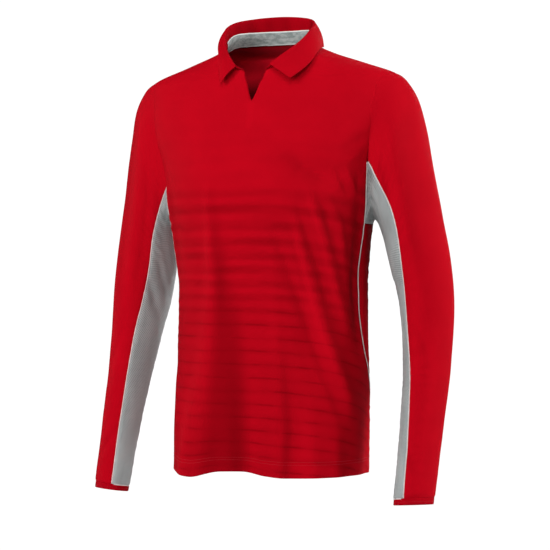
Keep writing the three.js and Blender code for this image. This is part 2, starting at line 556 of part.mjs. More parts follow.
function collarTable() {
  const d = [0];
  for (let i = 1; i < COLLAR.length; i++) {
    const a = COLLAR[i - 1], b = COLLAR[i];
    d.push(d[i - 1] + Math.hypot(b.foldX - a.foldX, b.foldY - a.foldY, b.foldZ - a.foldZ));
  }
  const total = d[d.length - 1], n = d.length;
  const spline = (name) => {
    const y = COLLAR.map((r) => r[name]), m = new Array(n).fill(0);
    const s = (i) => (y[i + 1] - y[i]) / (d[i + 1] - d[i]);
    for (let i = 1; i < n - 1; i++) m[i] = (s(i - 1) * (d[i + 1] - d[i]) + s(i) * (d[i] - d[i - 1])) / (d[i + 1] - d[i - 1]);
    m[0] = 1.5 * s(0) - 0.5 * m[1]; m[n - 1] = 1.5 * s(n - 2) - 0.5 * m[n - 2];
    return (f) => {
      const v = Math.min(total, Math.max(0, f * total));
      let i = 0;
      while (i < n - 2 && v > d[i + 1]) i++;
      const h = d[i + 1] - d[i], t = (v - d[i]) / h;
      return (1 + 2 * t) * (1 - t) ** 2 * y[i] + t * (1 - t) ** 2 * h * m[i] + t * t * (3 - 2 * t) * y[i + 1] + t * t * (t - 1) * h * m[i + 1];
    };
  };
  const c = Object.fromEntries(Object.keys(COLLAR[0]).map((k) => [k, spline(k)]));
  return (f) => ({ fold: V(c.foldX(f), c.foldY(f), c.foldZ(f)), edge: V(c.edgeX(f), c.edgeY(f), c.edgeZ(f)) });
}
const collarAt = collarTable();
const STAND_STEPS = 3, FOLD_STEPS = 4, FALL_STEPS = 5;
const collarSections = seam.map((s, i) => {
  const { fold, edge } = collarAt(seamRun[i] / seamRun[seamRun.length - 1]);
  const out = V(fold.x, fold.y - 8, 0).normalize();
  const foot = fold.clone().addScaledVector(out, -COLLAR_FOLD_R);
  const up = foot.clone().sub(s.p).normalize();
  const lean = Math.sqrt(Math.max(0, 1 - up.dot(s.past) ** 2));
  const start = s.p.clone().addScaledVector(s.n, -CLOTH / 2)
    .addScaledVector(s.past, SEAM_GAP / 2 + 0.1 + COLLAR_CLOTH / 2 * lean);
  const path = [];
  for (let k = 0; k < STAND_STEPS; k++) path.push(start.clone().lerp(foot, k / STAND_STEPS));
  for (let k = 0; k <= FOLD_STEPS; k++) {
    const th = Math.PI * (1 - k / FOLD_STEPS);
    path.push(fold.clone().addScaledVector(out, COLLAR_FOLD_R * Math.cos(th)).add(V(0, 0, COLLAR_FOLD_R * Math.sin(th))));
  }
  const fallTop = path[path.length - 1].clone();
  for (let k = 1; k <= FALL_STEPS; k++) {
    const t = k / FALL_STEPS;
    path.push(fallTop.clone().lerp(edge, t).addScaledVector(out, COLLAR_BULGE * Math.sin(Math.PI * t ** 0.8)));
  }
  return { ...s, start, foot, up, path };
});
// the section is one layer of cloth either side of its path
function collarRing(sec) {
  const left = [], right = [], p = sec.path;
  for (let k = 0; k < p.length; k++) {
    const dir = p[Math.min(k + 1, p.length - 1)].clone().sub(p[Math.max(k - 1, 0)]).normalize();
    const across = sec.run.clone().addScaledVector(dir, -sec.run.dot(dir)).normalize();
    const side_ = dir.clone().cross(across).normalize().multiplyScalar(COLLAR_CLOTH / 2);
    left.push(p[k].clone().add(side_)); right.push(p[k].clone().sub(side_));
  }
  return [...left, ...right.reverse()];
}
const collar = loft(collarSections.map(collarRing));

// ------------------------------------------------------------------ neck tape
const tapeSections = collarSections.filter((s) => s.angle >= TAPE_END_ANGLE);
const tape = loft(tapeSections.map((s) => {
  const sign = Math.sign(s.p.x) || 1;
  // points on the body a given way below the seam
  const below = (dist) => {
    let dz = 0;
    while (body(sign * s.angle, s.p.z - dz).distanceTo(s.p) < dist && dz < 40) dz += 0.1;
    return { p: body(sign * s.angle, s.p.z - dz), n: bodyNormal(sign * s.angle, s.p.z - dz) };
  };
  const standIn = s.run.clone().cross(s.up).normalize();
  if (standIn.dot(V(-s.p.x, 20 - s.p.y, 0)) < 0) standIn.negate();
  const rows = [TAPE_BELOW, TAPE_BELOW / 2].map((d) => {
    const q = below(d);
    return { p: q.p.addScaledVector(q.n, -(CLOTH + TAPE_GAP)), n: q.n.negate() };
  });
  // round the corner between the panel's cloth and the collar's
  const turn = standIn.clone().sub(s.n).normalize(), grow = 1 / Math.max(0.5, -turn.dot(s.n));
  rows.push({ p: s.p.clone().addScaledVector(s.n, -CLOTH).addScaledVector(turn, TAPE_GAP * grow), n: turn });
  const lead = COLLAR_CLOTH / 2 + TAPE_GAP;
  rows.push({ p: s.start.clone().addScaledVector(s.up, 0.5).addScaledVector(standIn, lead), n: standIn });
  rows.push({ p: s.start.clone().addScaledVector(s.up, TAPE_ABOVE).addScaledVector(standIn, lead), n: standIn });
  return [...rows.map((r) => r.p), ...rows.map((r) => r.p.clone().addScaledVector(r.n, TAPE_THICK)).reverse()];
}), (i) => tapeSections[i].p.x < -1e-6);

// ------------------------------------------------------------------ piping
// a flat strip along a seam, lifted clear of the cloth on both sides of it
function piping(points, sideA, sideB, skip = 0) {
  const n = points.length;
  const sections = points.map((p, i) => {
    const run = points[Math.min(i + 1, n - 1)].clone().sub(points[Math.max(i - 1, 0)]).normalize();
    const up = normalAt(p);
    up.addScaledVector(run, -up.dot(run)).normalize();
    // how steeply the cloth beside the seam rises above it
    let slope = 0;
    for (const k of [i - 1, i, i + 1]) {
      for (const q of [sideA[k], sideB[k]]) {
        if (!q) continue;
        const d = q.clone().sub(p);
        d.addScaledVector(run, -d.dot(run));
        const h = d.dot(up);
        slope = Math.max(slope, h / Math.max(1, Math.sqrt(Math.max(0, d.lengthSq() - h * h))));
      }
    }
    return { p, run, up, slope };
  });
  sections.forEach((s, i) => {
    const near = sections.slice(Math.max(0, i - 1), i + 2).map((q) => q.slope);
    s.lift = PIPING_GAP + Math.max(...near) * PIPING_WIDTH / 2;
  });
  // the strip begins a little way along the first length of seam
  if (skip) {
    const [a, b] = sections, t = skip / a.p.distanceTo(b.p);
    a.p = a.p.clone().lerp(b.p, t);
    a.up = a.up.clone().lerp(b.up, t).normalize();
    a.run = b.p.clone().sub(a.p).normalize();
  }
  return loft(sections.map(({ p, run, up, lift }) => {
    const across = up.clone().cross(run).normalize();
    const corner = (a, b) => p.clone().addScaledVector(across, a * PIPING_WIDTH / 2).addScaledVector(up, lift + b * PIPING_THICK);
    return [corner(-1, 0), corner(1, 0), corner(1, 1), corner(-1, 1)];
  }));
}
const pipes = {};
for (const [name, sign] of [['l', 1], ['r', -1]]) {
  const s = sleeves[name], zTip = TIP_Z[name];
  const zs = levels.filter((z) => z <= zTip);
  const seamPts = zs.map((z) => body(sign * frontSeam(z, sign), z));
  const towardFront = zs.map((z) => body(sign * (frontSeam(z, sign) - 3), z));
  const towardSide = zs.map((z) => {
    if (z <= GUSSET_Z) return body(sign * (frontSeam(z, sign) + 3), z);
    return s.grid[1][s.corner1 - (levels.indexOf(z) - GUSSET_ROW)];
  });
  const rows = s.grid.slice(0, s.cuffRow + 1);
  const sleevePts = rows.map((r) => r[s.tip]);
  const a = rows.map((r) => r[s.tip - 1]), b = rows.map((r) => r[s.tip + 1]);
  const cuffPts = [], ca = [], cb = [];
  for (let i = s.tip + 1; i <= s.tipRear; i++) {
    cuffPts.push(s.grid[s.cuffRow][i]); ca.push(s.grid[s.cuffRow - 1][i]); cb.push(s.grid[s.cuffRow + 1][i]);
  }
  pipes[name] = {
    body: piping(seamPts.slice(0, -1), towardFront, towardSide),
    sleeve: piping(sleevePts, a, b, PIPING_WIDTH * 1.5),
    cuff: piping(cuffPts, ca, cb),
  };
}

// ------------------------------------------------------------------ the garment
const group = new THREE.Group();
const RED = { color: 0xb8091b, roughness: 0.78, metalness: 0 };
const GREY = { color: 0x96989a, roughness: 0.85, metalness: 0 };
const LIGHT = { color: 0xd6cbca, roughness: 0.7, metalness: 0 };
function add(name, geo, look) {
  const mesh = new THREE.Mesh(geo, new THREE.MeshStandardMaterial(look));
  mesh.name = name;
  group.add(mesh);
}
for (const part of ['upper', 'lower']) {
  add(`front_${part}`, wall(front[part], normalAt, CLOTH), RED);
  add(`back_${part}`, wall(back[part], normalAt, CLOTH), RED);
}
for (const n of ['l', 'r']) {
  add(`side_panel_${n}`, wall(side[n], normalAt, CLOTH), RED);
  add(`sleeve_upper_${n}`, wall(sleeves[n].upper, normalAt, CLOTH), RED);
  add(`sleeve_lower_${n}`, wall(sleeves[n].lower, normalAt, CLOTH), RED);
  add(`under_sleeve_${n}`, wall(sleeves[n].under, normalAt, CLOTH), GREY);
  add(`cuff_${n}`, wall(sleeves[n].cuff, normalAt, CLOTH), RED);
  add(`piping_side_${n}`, pipes[n].body, LIGHT);
  add(`piping_sleeve_${n}`, pipes[n].sleeve, LIGHT);
  add(`piping_cuff_${n}`, pipes[n].cuff, LIGHT);
}
add('collar', collar, RED);
add('neck_tape', tape, GREY);

export default group;
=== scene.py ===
import math

import bpy
import numpy as np
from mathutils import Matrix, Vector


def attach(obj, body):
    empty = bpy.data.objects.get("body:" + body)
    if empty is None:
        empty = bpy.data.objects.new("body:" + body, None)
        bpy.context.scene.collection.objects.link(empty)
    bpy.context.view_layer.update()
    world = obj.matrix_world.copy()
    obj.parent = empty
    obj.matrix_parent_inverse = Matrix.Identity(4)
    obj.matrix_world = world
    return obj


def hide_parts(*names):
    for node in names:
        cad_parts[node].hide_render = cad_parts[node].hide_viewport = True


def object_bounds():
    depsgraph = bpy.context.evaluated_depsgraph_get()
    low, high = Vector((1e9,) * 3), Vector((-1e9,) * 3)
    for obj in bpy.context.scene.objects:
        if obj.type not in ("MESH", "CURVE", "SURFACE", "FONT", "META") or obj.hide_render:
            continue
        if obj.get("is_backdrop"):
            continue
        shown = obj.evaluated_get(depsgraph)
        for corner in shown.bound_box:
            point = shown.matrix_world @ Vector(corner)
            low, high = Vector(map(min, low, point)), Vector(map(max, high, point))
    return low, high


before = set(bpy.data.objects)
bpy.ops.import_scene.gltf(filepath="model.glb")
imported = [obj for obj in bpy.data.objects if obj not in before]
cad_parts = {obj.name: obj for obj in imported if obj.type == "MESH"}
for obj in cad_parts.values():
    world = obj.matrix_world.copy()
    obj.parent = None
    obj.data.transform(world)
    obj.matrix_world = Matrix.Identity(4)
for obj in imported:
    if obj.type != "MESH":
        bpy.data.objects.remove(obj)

cad_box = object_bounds()
RAD = math.pi / 180
MM = 0.001

# ------------------------------------------------------------------ sizes, in millimetres
CLOTH = 0.9                  # thickness of the knit
HEM_Z, GUSSET_Z, SHOULDER_Z = -677.0, -279.0, -40.0
NECK_SIDE_Z, NECK_BACK_Z = 24.0, 36.0
SLIT_TOP_Z, SLIT_FOOT_Z, SLIT_OFFSET_DEG = -37.0, -87.0, 0.9
TIP_Z = {"l": -182.0, "r": -215.0}
CUFF_DEPTH = 9.0
HEM_DEPTH = 25.0             # turned-up hem, to its stitching
COLLAR_CLOTH, COLLAR_FOLD_R, COLLAR_BULGE = 1.6, 1.8, 4.0
PIPING_WIDTH = 2.3
TAPE_BELOW, TAPE_ABOVE = 13.0, 9.0
TAPE_END_ANGLE = 62.0
HOLD_RED, HOLD_GREY = 0.60, 0.85
GIRTH_R = 140.0
STRIPE_PITCH, STRIPE_ZERO = 20.8, -641.6   # tonal stripes on the front


def table(columns, rows):
    return {n: np.array([r[i] for r in rows], float) for i, n in enumerate(columns.split())}


TORSO = table("z halfWidth front back centreY frontSquare backSquare", [
    [60, 64, 58, 62, 8, 2.0, 2.0],
    [40, 68, 66, 65, 9, 2.0, 2.0],
    [24, 72, 77, 62, 14, 2.0, 2.0],
    [10, 77, 86, 59, 20, 2.0, 2.0],
    [0, 96.5, 97, 57, 30, 2.0, 2.0],
    [-20, 153, 101, 67, 27, 2.0, 2.0],
    [-40, 206, 98, 82, 18, 2.0, 2.0],
    [-50, 219, 99.5, 86, 16, 2.0, 2.0],
    [-70, 222, 102, 94, 12, 2.0, 2.05],
    [-100, 216, 107, 103, 8, 2.0, 2.1],
    [-140, 204, 116, 110, 5, 2.0, 2.15],
    [-200, 181, 124, 113, 4, 2.05, 2.2],
    [-240, 174, 123, 111, 4, 2.1, 2.2],
    [-279, 167, 120, 107, 6, 2.1, 2.2],
    [-330, 161, 116, 100, 8, 2.1, 2.2],
    [-380, 158, 112, 95, 9, 2.1, 2.15],
    [-440, 159, 109, 94, 8, 2.1, 2.1],
    [-500, 161, 108, 98, 6, 2.1, 2.1],
    [-560, 163, 108, 104, 3, 2.1, 2.15],
    [-620, 164, 109, 110, 0, 2.1, 2.2],
    [-700, 164, 110, 113, -2, 2.1, 2.2],
])
SIDE = table("z front rear", [
    [-279, 78.5, 102], [-333, 77.4, 108], [-377, 77.4, 114], [-413, 79.6, 119],
    [-454, 84, 124], [-482, 89, 128], [-522, 102, 134], [-560, 112, 138],
    [-620, 119, 142], [-700, 124, 144],
])
ARMHOLE = table("z front rear", [
    [-40, 90, 90], [-41.5, 80, 100], [-45, 71, 109], [-53, 62.5, 117], [-65, 59, 120.5],
    [-90, 58.2, 121], [-120, 61.2, 118.5], [-150, 64.6, 115.5], [-175, 68.5, 112], [-200, 73.2, 107.5],
    [-240, 76.6, 103.5], [-279, 78.5, 102],
])
FORWARD_R = table("z shift", [
    [-40, 0], [-120, 0], [-170, 3.5], [-215, 7.5], [-250, 9.5], [-279, 9.5], [-333, 7], [-400, 3], [-470, 0], [-700, 0],
])
FORWARD_L = table("z shift", [[-40, 0], [-225, 0], [-262, -1.6], [-282, -2.7], [-300, -3.8], [-346, -4.7], [-384, -4.6], [-410, -2.9], [-440, -0.5], [-470, 1.6], [-500, 3.6], [-540, 4.2], [-600, 3], [-700, 0]])
NECK_FRONT = table("z angle", [
    [-87, 0], [-74, 1.4], [-60, 2.5], [-48, 3.9], [-37, 5.3], [-30, 10.5], [-22, 18.5],
    [-10, 34], [6, 58], [16, 76], [24, 90],
])
NECK_BACK = table("z angle", [[24, 90], [29, 108], [33, 132], [35.3, 156], [36, 180],
])
HEM = table("angle rise", [
    [-180, 0], [-75, 2], [-35, -2], [-14, 10], [-3, 11], [9, 5], [22, 2.5], [42, 3.5], [64, 4.5], [88, 3.5], [120, 0], [180, 0],
])
SLEEVE = table("outerX outerZ innerX innerZ centreY halfDepth skew lift seamLeft seamRight seamRear", [
    [223, -51, 172.5, -270, 12, 58, 0, 0, 113, 134, 243],
    [239, -78, 179, -280, 18, 62, 0, 0, 115, 136.5, 243],
    [250, -125, 185, -302, 26, 64, 0, 0, 110.5, 133, 244],
    [261, -190, 190, -330, 32, 63, -2, 0, 105, 128, 245],
    [275, -265, 195.5, -362, 38, 61, -4, 0, 109, 126, 247],
    [287.5, -335, 201, -386, 42, 59, -5, 0, 117, 124, 248],
    [293, -395, 206, -410, 41, 57, -5, 0, 121, 120.5, 249],
    [294, -448, 213.5, -452, 31.5, 52, -2, 0, 122, 116.5, 250],
    [293, -510, 220.5, -511, 14, 46.5, 1, 1, 117, 115.5, 250],
    [291.2, -568, 224.4, -572, -8, 42, 4, 2, 112, 117, 250],
    [289, -627, 226.9, -633, -31, 38.5, 6, 4, 109, 119.5, 250],
    [287.4, -680, 226.8, -686, -51, 35.2, 6.5, 5, 106, 120, 250],
    [286.4, -709, 227.4, -712, -60.5, 33.8, 6.5, 5, 105, 120, 250],
])
COLLAR = table("foldX foldY foldZ edgeX edgeY edgeZ", [
    [-28, -84, -32, -49, -93, -57],
    [-44, -71, -14, -55, -85, -41],
    [-60, -46, 2, -61, -74, -24],
    [-70, -28, 16, -70, -52, -7],
    [-78, -5, 37, -85, -14, 4],
    [-76, 30, 54, -87, 38, 9],
    [-52, 62, 64, -57, 77, 17],
    [0, 76, 67, 0, 93, 20],
    [46, 63, 59, 55, 74, 16],
    [63, 32, 46, 78, 34, 10],
    [67.5, 4, 34, 86, 5, 6],
    [67, -20, 20, 92.5, -28.5, -3.5],
    [60, -45, 3.5, 93, -65.5, -24.5],
    [47, -70, -14, 83, -82, -40],
    [31, -84, -30, 68, -95, -54],
])

# soft folds on the torso: points along each (angle, level, height, width), and how much wider
# its far side is than its near one; troughs are negative
TORSO_FOLDS = [
    # the two ridges that run down from the chest to the wearer's left hip, and the hollows by them
    ([(31, -215, 0, 7), (36, -242, 2.0, 7), (41, -275, 3.6, 7.5), (46, -310, 3.6, 8.5), (51, -348, 3.7, 9.5), (55.5, -386, 3.8, 10), (60.5, -420, 3.6, 11), (66, -460, 0, 12)], 0.15),
    ([(27.5, -236, 0, 6), (31, -274, -1.3, 8), (35.6, -314, -2.2, 8), (41.8, -350, -2.0, 8), (47, -395, -1.4, 9), (52, -440, 0, 10)], 0.05),
    ([(27, -265, 0, 8), (31.2, -310, 3.4, 9), (36.5, -360, 4.4, 10.5), (41.5, -410, 5.2, 11.3), (46.8, -455, 5.6, 11), (55, -505, 5.0, 12), (64.5, -550, 4.0, 13.5), (68, -590, 0, 14.5)], 0.22),
    ([(40, -225, 0, 6), (48.2, -250, 1.2, 6), (55.3, -280, 2.4, 7), (59, -315, 3.2, 8), (62, -350, 0, 9)], 0.0),
    ([(38, -235, 0, 6), (44.6, -262, -2.0, 6), (50.2, -300, -1.2, 7), (55, -340, 0, 8)], 0.0),
    ([(68, -230, 0, 9), (71, -300, -2.0, 10.5), (72.8, -380, -5.0, 12.3), (75.5, -470, 0, 12)], -0.05),
    # the long ridge down the wearer's right of the middle, and the hollow with a sharp far side
    ([(-20, -205, 0, 8), (-20.5, -250, 1.6, 9), (-21, -300, 3.6, 11), (-22, -368, 3.7, 15.2), (-23.4, -415, 4, 19.9), (-25.3, -463, 4.5, 23.8), (-27.8, -512, 5.3, 26.9), (-31, -558, 6.6, 29.1), (-35.1, -606, 8.6, 30), (-38.8, -648, 10.5, 30), (-40, -700, 9.6, 30)], 0.12),
    ([(-15, -290, 0, 11), (-18.3, -368, 1.2, 11.1), (-19.1, -415, 1.6, 14.5), (-20.1, -463, 2, 17.6), (-20.8, -512, 2.4, 20.5), (-21.3, -558, 3.3, 22.6), (-22.4, -606, 4.5, 24), (-24.2, -648, 5.9, 24), (-24.2, -700, 5.6, 24)], 0.0),
    ([(-8, -280, 0, 10), (-3.9, -368, -0.5, 23.8), (-2.3, -415, -2.5, 26.6), (-0.6, -463, -4.2, 29.1), (0.7, -512, -5.7, 31.1), (1.6, -558, -7.2, 32), (2.3, -606, -8.8, 32), (2.8, -648, -9.8, 32), (2.8, -700, -9.4, 32)], 0.30),
    ([(14, -300, 0, 9), (15.5, -380, 0.6, 9), (16.5, -470, 1.0, 9.5), (17.2, -560, 1.3, 10), (17.6, -700, 1.0, 11)], 0.0),
    ([(26, -380, 0, 10), (30, -440, -1.0, 11), (35.5, -500, -1.6, 12.5), (43.5, -560, -0.8, 13.2), (50, -620, 0, 14)], 0.0),
    ([(34, -560, 0, 13), (38, -620, 1.8, 14.5), (40.2, -700, 2.2, 15.3)], 0.0),
    ([(14, -285, 0, 8), (19.5, -320, -1.4, 9), (25.5, -368, -1.8, 9), (32.5, -415, -2.6, 9), (37.5, -462, -2.6, 9), (44, -508, -3.0, 10), (53, -555, -2.2, 10), (60, -600, 0, 10)], 0.0),
    ([(22, -480, 0, 14), (24.5, -540, -2.4, 16), (26.5, -604, -4.4, 16), (25.5, -650, -4.4, 16), (25, -700, -4.0, 16)], 0.35),
    ([(80, -490, 0, 22), (88, -570, -3.5, 28), (92, -630, -5.5, 33), (93, -700, -6.0, 35)], 0.0),
    ([(54, -580, 0, 14), (54.5, -640, 2.6, 15), (54.5, -700, 3.6, 16)], 0.0),
    ([(-60, -190, 0, 12), (-62, -225, 3.0, 15), (-64, -270, 4.6, 16), (-66, -320, 3.0, 16), (-68, -380, 0, 16)], 0.0),
    # the hollow between the chest and the wearer's left arm, and the fall towards the side seam
    ([(19, -168, 0, 11), (30, -190, -4.0, 12), (41, -206, -4.8, 12), (51, -224, 0, 10)], 0.0),
    ([(68, -230, 0, 12), (77, -290, -5.4, 15), (80, -350, -7.4, 17), (80, -420, -5.4, 17), (77, -500, 0, 16)], 0.0),
    # short creases by the wearer's left armhole
    ([(66, -138, 0, 8), (58, -150, -1.8, 9), (49, -160, 0, 10)], 0.0),
    ([(64, -170, 0, 7), (56, -182, 1.2, 8), (46, -190, 0, 9)], 0.0),
    ([(47, -188, 0, 5), (51, -203, -1.6, 5), (55.6, -220, -2.0, 5), (60, -238, 0, 6)], 0.0),
    ([(54, -190, 0, 5), (58, -205, 2.2, 4.6), (63.2, -224, 1.0, 5), (66, -240, 0, 6)], 0.0),
    ([(63, -196, 0, 5), (66.4, -212, -1.6, 6), (69, -232, 0, 7)], 0.0),
    ([(20, -205, 0, 12), (30, -215, 0.8, 12), (40, -222, 0, 12)], 0.0),
    ([(-60, -170, 0, 8), (-56.4, -215, -1.3, 9.2), (-50, -260, 0, 10)], 0.0),
    # the front hangs a little flatter than the form on both sides of the middle
    ([(-48, -150, 0, 29), (-46, -300, 0.8, 29), (-46, -500, -0.6, 35), (-46.5, -700, 2.5, 37)], 0.0),
    ([(45, -150, 0, 31), (48.5, -300, 2.6, 31), (50.5, -500, 1.6, 34), (49.8, -700, 2.8, 33)], 0.0),
    # sides and back, as a worn jersey folds
    ([(108, -300, 0, 12), (118, -380, 2.6, 14), (128, -460, 0, 16)], 0.0),
    ([(-106, -310, 0, 12), (-117, -392, 2.8, 14), (-129, -474, 0, 16)], 0.0),
    ([(118, -150, 0, 10), (134, -205, 3.2, 12), (150, -258, 2.0, 14), (163, -300, 0, 16)], 0.0),
    ([(-119, -160, 0, 10), (-136, -214, 3.0, 12), (-152, -270, 1.8, 14), (-165, -316, 0, 16)], 0.0),
    ([(122, -205, 0, 9), (139, -262, -2.6, 12), (155, -318, 0, 14)], 0.0),
    ([(-123, -214, 0, 9), (-140, -272, -2.4, 12), (-156, -330, 0, 14)], 0.0),
    ([(150, -350, 0, 16), (154, -450, 3.0, 19), (157, -570, 4.0, 22), (158, -700, 5.0, 25)], 0.0),
    ([(174, -330, 0, 16), (175, -450, -3.2, 20), (176, -570, -4.8, 24), (177, -700, -5.6, 26)], 0.2),
    ([(-157, -380, 0, 16), (-155, -480, 2.6, 18), (-153, -590, 3.6, 22), (-152, -700, 4.2, 24)], 0.0),
    ([(134, -430, 0, 12), (136, -540, -2.4, 16), (137, -700, -3.2, 18)], 0.0),
    ([(-132, -450, 0, 12), (-133, -560, -2.6, 16), (-134, -700, -3.4, 18)], 0.0),
    ([(150, -70, 0, 14), (168, -84, -1.6, 16), (188, -84, -1.6, 16), (206, -72, 0, 14)], 0.0),
]
# folds on the sleeves: side, points along each (angle, row, height, width), widening
SLEEVE_FOLDS = [
    (1, [(112, 0.4, 0, 5), (122, 0.6, -4.4, 6), (133, 0.8, -5.4, 6), (152, 0.95, -4.4, 6), (172, 1.2, 0, 8)], 0.0),
    (1, [(126, 1.5, 0, 6), (136, 2.2, -1.8, 7), (142, 3.2, -1.4, 8), (146, 4.2, 0, 9)], 0.0),
    (1, [(96, 0.6, 0, 7), (98, 1.6, -1.6, 8), (103, 2.8, -2.6, 8), (107, 4.2, -2.0, 9), (110, 5.6, 0, 9)], 0.0),
    (1, [(70, 0.4, 0, 7), (72, 1.4, 1.6, 8), (78, 3.0, 2.0, 9), (82, 4.6, 1.2, 9), (84, 6.0, 0, 10)], 0.0),
    (-1, [(100, 0.8, 0, 8), (104, 1.8, -1.6, 9), (112, 3.0, -2.0, 9), (112, 4.4, -1.6, 10), (108, 5.8, -1.2, 10), (104, 7.0, 0, 10)], 0.0),
    (1, [(34, 0.8, 0, 11), (42, 2.0, -1.2, 13), (50, 3.6, -1.4, 14), (58, 5.4, -1.0, 14), (66, 7.0, 0, 13)], 0.0),
    (1, [(20, 1.4, 0, 12), (26, 3.4, 1.2, 14), (32, 5.6, 0, 14)], 0.0),
    (1, [(150, 5.2, 0, 8), (178, 6.0, -3.0, 8), (210, 6.8, 0, 9)], 0.0),
    (1, [(158, 6.4, 0, 7), (186, 7.2, -2.6, 8), (216, 8.0, 0, 9)], 0.0),
    (1, [(162, 7.8, 0, 7), (190, 8.6, -1.8, 8), (214, 9.3, 0, 9)], 0.0),
    (1, [(96, 7.6, 0, 9), (70, 8.4, -1.4, 11), (44, 9.4, 0, 12)], 0.0),
    (1, [(136, 10.6, 0, 7), (90, 11.2, -1.1, 8), (40, 11.8, 0, 9)], 0.0),
    (1, [(128, 1.2, 0, 7), (132, 2.4, 1.8, 8), (138, 3.6, 0, 9)], 0.0),
    (1, [(300, 1.0, 0, 12), (292, 3.0, -2.4, 13), (286, 5.4, 0, 14)], 0.0),
    (1, [(246, 5.4, 0, 9), (270, 6.4, 1.8, 11), (300, 7.4, 0, 12)], 0.0),
    (-1, [(38, 0.8, 0, 10), (50, 2.0, -2.2, 12), (60, 4.0, -3.0, 13), (68, 6.0, -2.0, 13), (72, 7.6, 0, 12)], 0.0),
    (-1, [(18, 1.2, 0, 12), (24, 3.6, 1.4, 14), (30, 6.0, 0, 14)], 0.0),
    (-1, [(150, 3.2, 0, 9), (166, 4.3, -3.0, 9), (190, 5.4, -1.8, 10), (206, 6.0, 0, 10)], 0.0),
    (-1, [(140, 4.2, 0, 7), (150, 4.9, -2.4, 7), (163, 5.7, -3.2, 8), (183, 6.6, -2.4, 8), (200, 7.2, 0, 9)], 0.0),
    (-1, [(126, 5.6, 0, 7), (135, 6.2, -2.2, 7), (149, 7.1, -2.8, 8), (172, 7.6, -2.2, 8), (196, 8.2, 0, 9)], 0.0),
    (-1, [(160, 8.2, 0, 8), (188, 9.0, -1.6, 9), (214, 9.7, 0, 10)], 0.0),
    (-1, [(96, 7.8, 0, 9), (68, 8.7, -1.4, 11), (42, 9.8, 0, 12)], 0.0),
    (-1, [(136, 10.4, 0, 7), (92, 11.1, -1.2, 8), (44, 11.8, 0, 9)], 0.0),
    (-1, [(302, 1.2, 0, 12), (294, 3.2, -2.4, 13), (288, 5.6, 0, 14)], 0.0),
    (-1, [(246, 5.2, 0, 9), (272, 6.2, 1.8, 11), (300, 7.2, 0, 12)], 0.0),
]


# ------------------------------------------------------------------ curves
def curve(t, xn, yn):
    """Monotone cubic through a table's column."""
    o = np.argsort(t[xn], kind="stable")
    x, y = t[xn][o], t[yn][o]
    n = len(x)
    h = np.diff(x)
    d = np.diff(y) / h
    m = np.zeros(n)
    for i in range(1, n - 1):
        if d[i - 1] * d[i] > 0:
            w1, w2 = 2 * h[i] + h[i - 1], h[i] + 2 * h[i - 1]
            m[i] = (w1 + w2) / (w1 / d[i - 1] + w2 / d[i])
    m[0], m[-1] = d[0], d[-1]

    def f(v):
        v = np.clip(np.asarray(v, float), x[0], x[-1])
        i = np.clip(np.searchsorted(x, v, side="left") - 1, 0, n - 2)
        k = (v - x[i]) / h[i]
        return ((1 + 2 * k) * (1 - k) ** 2 * y[i] + k * (1 - k) ** 2 * h[i] * m[i]
                + k * k * (3 - 2 * k) * y[i + 1] + k * k * (k - 1) * h[i] * m[i + 1])
    return f


torso = {n: curve(TORSO, "z", n) for n in ("halfWidth", "front", "back", "centreY", "frontSquare", "backSquare")}
side_front, side_rear = curve(SIDE, "z", "front"), curve(SIDE, "z", "rear")
hole_front, hole_rear = curve(ARMHOLE, "z", "front"), curve(ARMHOLE, "z", "rear")
neck_front_c, neck_back_c = curve(NECK_FRONT, "z", "angle"), curve(NECK_BACK, "z", "angle")
neck_back_z = curve(NECK_BACK, "angle", "z")
hem_rise = curve(HEM, "angle", "rise")


def front_seam(z):
    z = np.asarray(z, float)
    return np.where(z <= GUSSET_Z, side_front(z), np.where(z <= SHOULDER_Z, hole_front(z), 90.0))


forward_l, forward_r = curve(FORWARD_L, "z", "shift"), curve(FORWARD_R, "z", "shift")


def forward(z, sign):
    """How much further forward a front seam lies."""
    return (forward_r if sign < 0 else forward_l)(np.asarray(z, float))


def rear_seam(z):
    z = np.asarray(z, float)
    return np.where(z <= GUSSET_Z, side_rear(z), np.where(z <= SHOULDER_Z, hole_rear(z), 90.0))


def neck_front(z):
    z = np.asarray(z, float)
    return np.where(z <= SLIT_FOOT_Z, 0.0, neck_front_c(z))


def slit_shift(z):
    return SLIT_OFFSET_DEG * np.clip((-22 - np.asarray(z, float)) / 15, 0, 1)


def unit(v):
    return v / np.maximum(np.linalg.norm(v, axis=-1, keepdims=True), 1e-12)


def smooth(t):
    t = np.clip(t, 0, 1)
    return t * t * (3 - 2 * t)


# ------------------------------------------------------------------ the torso's form
def plain_body(a, z):
    a, z = np.broadcast_arrays(np.asarray(a, float), np.asarray(z, float))
    s, k = np.sin(a * RAD), np.cos(a * RAD)
    ahead = k >= 0
    n = np.where(ahead, torso["frontSquare"](z), torso["backSquare"](z))
    depth = np.where(ahead, torso["front"](z), torso["back"](z))
    rise = hem_rise(a) * np.clip((-540 - z) / (-540 - HEM_Z), 0, 1) ** 2
    x = torso["halfWidth"](z) * np.sign(s) * np.abs(s) ** (2 / n)
    y = torso["centreY"](z) - depth * np.sign(k) * np.abs(k) ** (2 / n)
    return np.stack([x, y, z + rise], -1)


def body_normal(a, z):
    u = plain_body(a + 0.5, z) - plain_body(a - 0.5, z)
    v = plain_body(a, z + 1.0) - plain_body(a, z - 1.0)
    return unit(np.cross(u, v))


